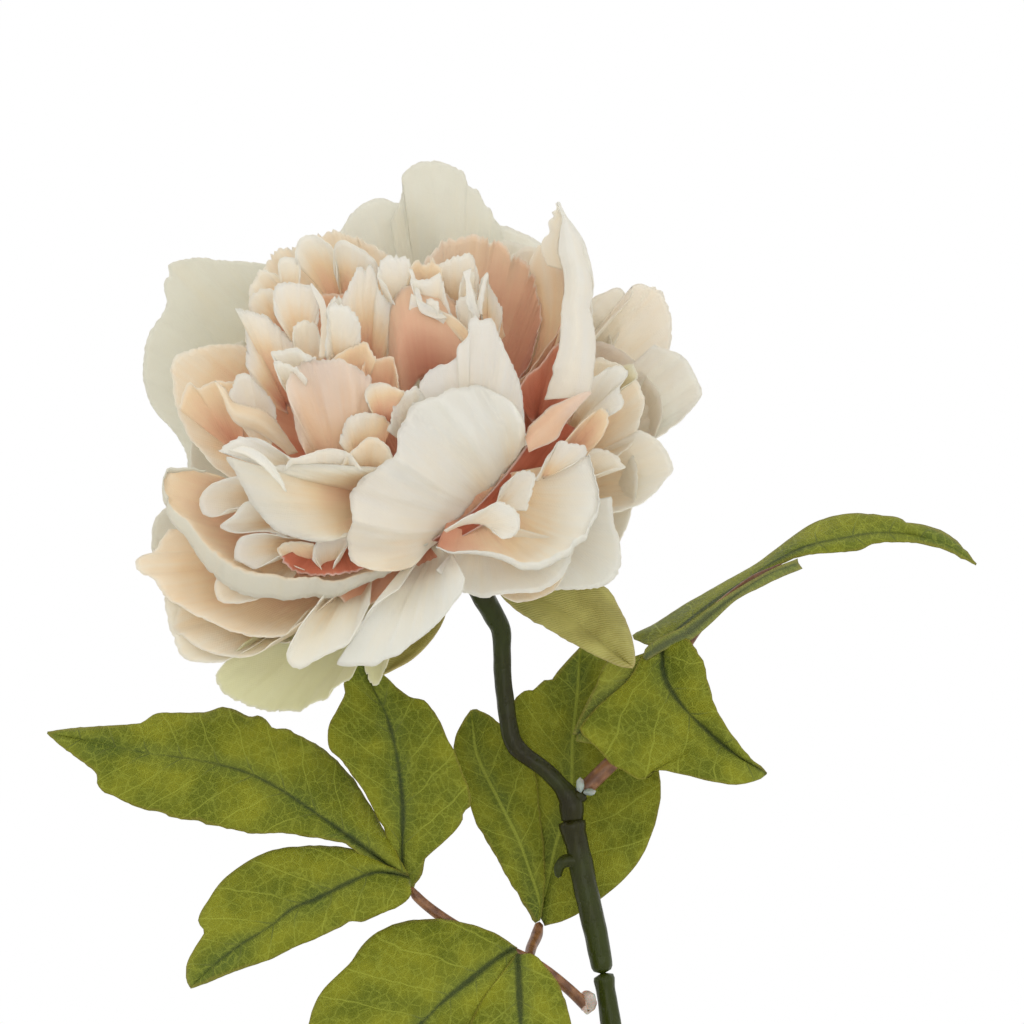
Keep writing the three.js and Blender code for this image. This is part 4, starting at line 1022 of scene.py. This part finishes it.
ribbon(front_bowl, (-42, -43, -43.5), [
    (20, 53), (18.7, 57.2), (19.3, 59), (20.5, 60), (20.3, 62.5), (21.5, 63.8), (21, 64.5), (22, 65.2),
    (21.9, 66.6)], [
    (23.5, 52), (22.5, 56), (22.8, 60), (23.8, 64), (22.6, 66.6)], heat=(0.2, 0.05), wave=0.6)
ribbon(front_bowl, (-60, -58, -56), [
    (15.3, 16), (16.3, 18.3), (18.5, 20.3), (20.5, 22.3), (23, 23.4), (28, 25.5), (29.4, 25.7)], [
    (16, 12.6), (18, 13.5), (21, 14.7), (22.5, 16), (24, 19), (27, 22.5), (29.6, 25.3)], bulge=1.5,
    heat=(0.5, 0.2), tint=-0.6, pleats=0.6)
petal(front_bowl, -43, [
    (13, 24), (15.5, 29), (19, 32), (22, 36), (25, 36), (26, 28), (25, 20), (20, 16)], heat=(1.1, 0.9),
    root=(18, 19, -39))
ribbon(front_bowl, (-50, -54.5, -57), [
    (20, 21), (13, 10.5), (4.2, 0.3), (-5, -6.6)], [
    (26.5, 17.5), (18.5, 7), (9.4, -1), (-0.9, -7.2)], heat=(1.2, 1.15), bulge=-1)
ribbon(front_bowl, (-49, -50, -46), [
    (-50, 24), (-49, 21), (-47, 18.5), (-43, 17), (-39, 14.5), (-36, 12)], [
    (-52, 28), (-50, 26.5), (-48, 23.5), (-44.5, 22.5), (-40.5, 21), (-34, 12.5)], bulge=2, heat=(0.3, 0.3))
petal(front_bowl, -46, [
    (-50, 23), (-48.2, 27), (-47.5, 29), (-45.5, 29.8), (-44.5, 29.5), (-42.5, 27), (-40.5, 25),
    (-39, 22.5), (-38.5, 19)], heat=(0.45, 0), root=(-41, 12, -44), teeth=0.4)
petal(front_bowl, -42, [
    (-60, 22), (-57.5, 27.7), (-56, 26.4), (-54.5, 26.8), (-52, 28), (-47, 28)], heat=(0.85, 0.34),
    root=(-46, 12, -36))
pressed("petals_bowl_front", front_bowl, "petals", petal_cloth, PETAL_THICKNESS, "bloom")

# Heart petals -------------------------------------------------------------------------------------
# Crumpled small petals that fill the bowl, white and toothed at the top, peach and rose lower down.

heart = new_cloth()


def frill(depth, rim, **shape):
    """A toothed and crumpled petal of the heart."""
    petal(heart, depth, rim, teeth=0.45, wave=2, **shape)


petal(heart, (-36, -38, -36), [
    (-34.5, 53.8), (-34.7, 55.9), (-34.5, 57.5), (-33.8, 58.5), (-32.5, 59.2), (-31, 59.1), (-29.3, 58.3),
    (-27.8, 57), (-26.9, 55.5), (-26.2, 53.8), (-25.8, 52), (-25.6, 50)], bulge=-2.5, heat=(0.85, 0),
    root=(-25, 43, -32), folds=(0.6, 1), wave=1.5)
petal(heart, (-37, -39, -37), [
    (-26.2, 51), (-26.4, 53.8), (-26.2, 56.4), (-25.6, 57.7), (-24.3, 58.1), (-22.3, 57.9), (-20.4, 56.8),
    (-18.6, 55.5), (-17.1, 53.8), (-16.3, 51)], bulge=-2, heat=(0.85, 0), root=(-23, 43, -33),
    folds=(0.6, 1), wave=1.5)
petal(heart, -37, [
    (-38.4, 51.6), (-38.2, 53.8), (-37.9, 54.6), (-36.2, 54.9), (-34.3, 54.4), (-33.6, 53.3),
    (-33.4, 50.6)], heat=(0.8, 0.05), root=(-35, 40, -33), teeth=0.3)
petal(heart, (-30, -33, -34), [
    (-43.1, 45.5), (-44.4, 47.3), (-44.2, 48.8), (-43.1, 50.3), (-42.7, 51.6), (-41.6, 52.7), (-40.1, 52.5),
    (-38.8, 51.6), (-36.9, 49.9)], heat=(0.9, 0.15), root=(-33, 40, -32), teeth=0.3)
petal(heart, (-34, -36, -38), [
    (-44, 41.9), (-44.7, 44.9), (-44.2, 46.4), (-43.1, 47.7), (-40.1, 48.1), (-37, 46)], heat=(0.9, 0.1),
    root=(-35, 37, -34), teeth=0.3)
petal(heart, -42, [
    (-42, 24), (-44.6, 30), (-45.4, 31.5), (-45.2, 34), (-45.3, 38), (-45.7, 41), (-46, 43.2),
    (-47.8, 43.9), (-45.5, 43.4), (-42.5, 42.7), (-41, 42.3), (-39.5, 41), (-37, 38.5), (-35, 36.3),
    (-34.5, 34), (-34, 28)], bulge=3, heat=(1, 0.02), root=(-36, 22, -40), teeth=0.3, folds=(0.8, 1))
petal(heart, -44, [
    (-39.2, 42.4), (-39.5, 46.6), (-39, 48.6), (-37.9, 49.2), (-35.8, 49.4), (-33.6, 49), (-31.2, 48.6),
    (-30.1, 47.3), (-29.5, 45.5), (-29.5, 41)], bulge=1, heat=(0.6, 0), root=(-33, 34, -41), teeth=0.3,
    folds=(0.5, 1))
ribbon(heart, (-54, -50, -46), [
    (-29.5, 33), (-29, 40), (-29.4, 44), (-30.6, 47), (-31.3, 49)], [
    (-26, 33), (-27.6, 43), (-28, 44.5), (-28.5, 46), (-31, 49.2)], heat=(0.3, 0))
frill(-52, [
    (-28, 43), (-27, 45.5), (-26.5, 46.2), (-25.8, 47.2), (-25.2, 47.5), (-24.5, 46.6), (-24, 43)],
    heat=(0.58, 0), root=(-26, 37, -48))
frill(-55, [
    (-28.3, 33.5), (-27.9, 38), (-27.5, 43), (-27.3, 44.5), (-25.5, 45.2), (-24, 44.8), (-22.5, 44.2),
    (-21, 42.5), (-20.3, 40.5), (-20.3, 38), (-20.5, 36), (-21, 33)], bulge=1.5, heat=(0.51, 0),
    root=(-25, 29, -51))
petal(heart, -51, [
    (-35.1, 36.9), (-35.1, 39.5), (-33.8, 40.8), (-32.3, 41.2), (-30.8, 40.5), (-29.9, 39.5), (-29.2, 36)],
    heat=(0.4, 0.1), root=[(-34, 30, -46), (-31, 29, -47), (-28, 30, -47)], teeth=0.3)
frill((-44, -45, -46), [
    (-25, 39), (-24.5, 45), (-24, 46.5), (-23, 48.5), (-22, 51), (-21.3, 52.8), (-20.5, 52.5),
    (-20.2, 51.5), (-19.5, 52.5), (-19, 53), (-18.2, 52), (-17.2, 50.2), (-17, 48), (-15, 46), (-13.3, 44),
    (-13.2, 42), (-13.5, 36)], bulge=2, heat=(0.95, 0), root=(-18, 27, -40))
petal(heart, (-44, -45, -44), [
    (-11.5, 26), (-13.8, 31), (-14.4, 36), (-14.2, 41), (-13.5, 45), (-11, 48.5), (-7, 49), (-2, 47),
    (2, 43), (5, 39), (6, 34), (5, 29)], bulge=6, heat=(0.84, 0.36), tint=-0.6, root=(-5, 24, -46),
    wave=0.5, pleats=0.05, folds=(0, 1), claw=0.5)
ribbon(heart, (-49.5, -50, -50), [
    (-9.5, 47), (-6.5, 45), (-3, 43.3), (0.3, 41.6), (3.4, 38.3)], [
    (-10, 43.5), (-7.2, 41.5), (-3.6, 39.9), (0, 38), (1.9, 36)], bulge=0.5, heat=(0.05, 0.45))
petal(heart, -35, [
    (-42, 28), (-42, 36), (-39, 43), (-33, 46), (-26, 47), (-19, 46), (-14, 44), (-12, 40)],
    heat=(0.95, 0.6), root=(-24, 22, -36), folds=(1, 3))
petal(heart, -37, [
    (-17, 40), (-16, 48), (-11, 52), (-3, 52), (4, 50), (9, 45), (11, 38)], heat=(0.95, 0.5),
    root=(-3, 25, -40), folds=(1, 2))
frill(-45, [
    (-13, 45), (-15, 49), (-17, 51), (-16.5, 53.5), (-15.5, 55.1), (-13, 55.2), (-11, 55), (-10, 54.5),
    (-9, 50), (-9.5, 45)], bulge=1, heat=(0.7, 0), root=(-11, 35, -40))
petal(heart, -43, [
    (-11, 46), (-10.5, 50.5), (-9.5, 53), (-8, 54.2), (-6.3, 53), (-4.8, 54.5), (-3, 53.2), (-2.5, 48)],
    heat=(0.9, 0.3), root=(-7, 40, -40), teeth=0.7, wave=2)
frill(-42, [
    (-2, 44), (-2.5, 50), (-4, 53), (-2, 54.3), (0, 55), (2, 55.5), (3.5, 55.8), (4.2, 54.5), (4.6, 52.5),
    (5.4, 50.3), (5, 47.5), (4.5, 43)], heat=(0.81, 0.04), root=(1, 35, -37))
frill(-48, [
    (-7.5, 42), (-8.3, 44.5), (-8.7, 47), (-9.7, 50.5), (-7, 50), (-5, 50.5), (-3.2, 51.4), (-2.4, 49),
    (-1.8, 46), (-1, 43.5), (0.3, 41)], heat=(0.7, 0), root=(-4, 36, -44))
frill(-52, [
    (-6.8, 41), (-6, 45.3), (-3.7, 45.5), (-3.2, 43.5), (-2, 41)], heat=(0.3, 0), root=(-5, 37, -48))
frill(-47, [
    (0.5, 45), (1.5, 50), (2.3, 52), (3.6, 51.5), (3.8, 50), (2.9, 48), (4, 46), (4.5, 43), (4.8, 40)],
    heat=(0.81, 0.05), root=(2, 37, -43))
ribbon(heart, (-47, -50, -50), [
    (1.7, 51.6), (2.4, 48.7), (2.2, 45.5), (3.3, 43), (4, 41.5)], [
    (3.6, 52.4), (3.4, 49.8), (4.2, 46.6), (5, 43.8), (5.4, 41.6)], heat=(0, 0), teeth=0.35)
ribbon(heart, (-46, -49, -50), [
    (6.9, 51.4), (5.8, 48.8), (5, 45.5), (4.6, 43)], [
    (7.2, 51.3), (6.7, 48.2), (6.1, 45.1), (5.8, 42.3)], heat=(0.05, 0), teeth=0.35)
ribbon(heart, (-46, -50, -52), [
    (-10, 52.4), (-9, 49), (-8.2, 45), (-7.4, 43), (-3.8, 41.4)], [
    (-9.2, 52.2), (-7.9, 48.6), (-6.6, 44.8), (-5, 44.2), (-1.4, 41.6)], heat=(0.05, 0.1), teeth=0.35)
frill(-50, [
    (1, 40), (0.3, 43), (0.3, 45.5), (1.5, 46.5), (3, 46), (4, 42.5), (4, 40)], heat=(0.4, 0),
    root=(2, 35, -47))
frill(-43, [
    (6.3, 40), (5.3, 45.5), (5.2, 48), (5.8, 50), (7.2, 51.5), (7.3, 49), (8.5, 46.5), (10, 44), (10.2, 42),
    (9.5, 38)], heat=(0.93, 0.03), root=(7, 32, -40))
pressed("petals_heart_top", heart, "petals", petal_cloth, PETAL_THICKNESS, "bloom")

inner = new_cloth()


def lip(depth, rim, **shape):
    """A petal between the heart and the bowl, with an uneven rim."""
    petal(inner, depth, rim, teeth=0.3, wave=1.8, **shape)


petal(inner, (-60, -60, -59), [
    (-32, 12), (-33.5, 14.8), (-34.3, 17.5), (-34.8, 20.5), (-35.7, 23), (-36.5, 25.5), (-36.5, 28),
    (-34.8, 30.5), (-33, 32), (-32, 32.7), (-30, 32.3), (-26, 32.8), (-25, 33), (-22, 31.5), (-20, 30),
    (-18, 29), (-18.5, 28), (-19, 26.5), (-18.8, 25), (-17.5, 22.5), (-16.8, 20)], bulge=2,
    heat=(0.6, 0.14), tint=-0.5, teeth=0.35, root=[(-32, 11, -56), (-25, 9, -56), (-17, 12, -56)], wave=3.2,
    folds=(2.4, 2.3))
lip(-56, [
    (-38, 30), (-39.8, 33.8), (-38, 34.3), (-36, 35), (-34.5, 35.6), (-32.5, 34.5), (-30, 33)],
    heat=(0.58, 0), root=(-32, 24, -50))
lip(-58, [
    (-38, 28), (-39.3, 32.2), (-38, 32.7), (-36, 32), (-34.5, 31.5), (-32, 29)], heat=(0.48, 0.02),
    root=(-34, 22, -53))
lip(-57, [
    (-29, 31), (-25, 33.8), (-22, 34.7), (-20.5, 35.5), (-19.3, 36.3), (-17, 33)], heat=(0.95, 0.4),
    root=(-22, 20, -50))
lip(-56, [
    (-21, 29), (-19, 33), (-17, 32.3), (-15, 32.7), (-13.8, 32.6), (-13.3, 31), (-12.5, 28.5), (-12, 25)],
    heat=(1, 0.45), root=(-16, 18, -50))
lip(-63, [
    (-25, 14.5), (-24.3, 17), (-23.5, 19.2), (-22, 20.6), (-19.5, 21), (-17, 20.4), (-15, 19.2),
    (-13.5, 17)], bulge=2, heat=(1, (0.1, 0.12, 0.6)), root=(-19, 8, -57))
lip(-61, [
    (-18, 21.5), (-19.4, 24), (-19.6, 25.8), (-18.3, 27), (-15.5, 27.6), (-13, 27), (-10.8, 26)], bulge=1,
    heat=(1.1, (0.05, 0.1, 0.4)), root=(-15.5, 17, -57))
lip(-62, [
    (-14.5, 17), (-13, 22), (-11.5, 25.2), (-10, 26.3), (-8.5, 27), (-6, 24)], heat=(0.48, 0.03),
    root=(-9, 14, -56))
petal(inner, (-63, -65, -64), [
    (-2.4, -4.6), (0.5, -2.6), (3.3, -1.1), (6.5, 0.4), (9.8, 2.2), (12.4, 1.1), (14.1, -0.7), (14.2, -3.3),
    (13, -5.4), (10.6, -6.1), (8.2, -4.6)], heat=(0.2, 0),
    root=[(-1.8, -4.8, -60), (3.5, -2.9, -61), (7.6, -4, -61)], teeth=0.3, folds=(0.4, 1))
lip(-60, [
    (8.6, 0), (9.6, 2.5), (10, 4.5), (11, 5.5), (13, 7.5), (14.5, 8.5), (16.5, 8.4), (17.4, 7.8), (17.3, 6),
    (16.8, 4.5), (15.5, 0)], heat=(0.4, 0), root=(9, 0, -56))
petal(inner, -58, [
    (17.5, 6), (19.5, 9.8), (20, 11), (21.5, 13), (22.5, 15), (23.5, 15), (25, 14.5), (28, 14.2),
    (28.5, 13), (28.8, 11.5), (25, 9)], heat=(0.5, 0), root=(19, 7, -54), teeth=0.35, wave=1.8)
lip(-50, [(13, 6), (16, 10.3), (18.5, 10.7), (21, 9.5), (24, 5)], heat=(0.93, 0.1), root=(16, 0, -38))
lip(-48, [
    (30, 28), (34, 31), (36.8, 31.2), (38.2, 29.8), (37, 28.5), (36, 27), (35.8, 25.8), (36.5, 24.5),
    (37, 23.5), (36.5, 22), (35.5, 21), (34, 20.9), (33, 22), (31.5, 21.5), (28, 17)], bulge=2,
    heat=(0.56, 0), root=(22, 12, -38))
lip(-46, [
    (35, 31), (38.8, 31.8), (40.2, 30), (39.8, 28.6), (36, 26)], heat=(0.4, 0.15), tint=1.5,
    root=(30, 22, -40))
lip(-53, [
    (24, 15), (27, 18.5), (29, 20.3), (31.5, 21.8), (33, 21), (33.2, 19), (32, 16), (30.5, 14), (28, 11)],
    bulge=1, heat=(1, 0.4), root=(19, 6, -44))
lip(-44, [
    (29, 33), (33, 33), (37, 31), (40, 27.5), (41, 24), (40, 19), (38, 14), (33, 10)], bulge=-3,
    heat=(0.8, 0.2), root=(18, 8, -38))
petal(inner, (-56, -61, -62), [
    (29, 12), (30.2, 8), (30.5, 6.5), (31.3, 4), (31.3, 2.5), (30.8, 0), (30, -1.5), (28.8, -3.5),
    (28.3, -5), (26, -6.5), (24.5, -8.5), (22, -9.5), (19, -10.8), (17, -11.5), (14, -11.3), (11, -10),
    (8, -9), (5, -8.6), (2, -8.9), (0, -9.5), (-4, -8)], bulge=-5, heat=(0.72, (0, 0.16, 0.85)),
    root=(3, 5, -54), fold=(0, -1.7, 0.6))
lip(-52, [
    (26, 10), (29, 12.8), (31, 12.6), (33, 12), (35, 10.8), (37, 9), (34, 8.6), (30, 7)], heat=(0.48, 0.1),
    root=(22, 4, -44))
pressed("petals_inner", inner, "petals", petal_cloth, PETAL_THICKNESS, "bloom")
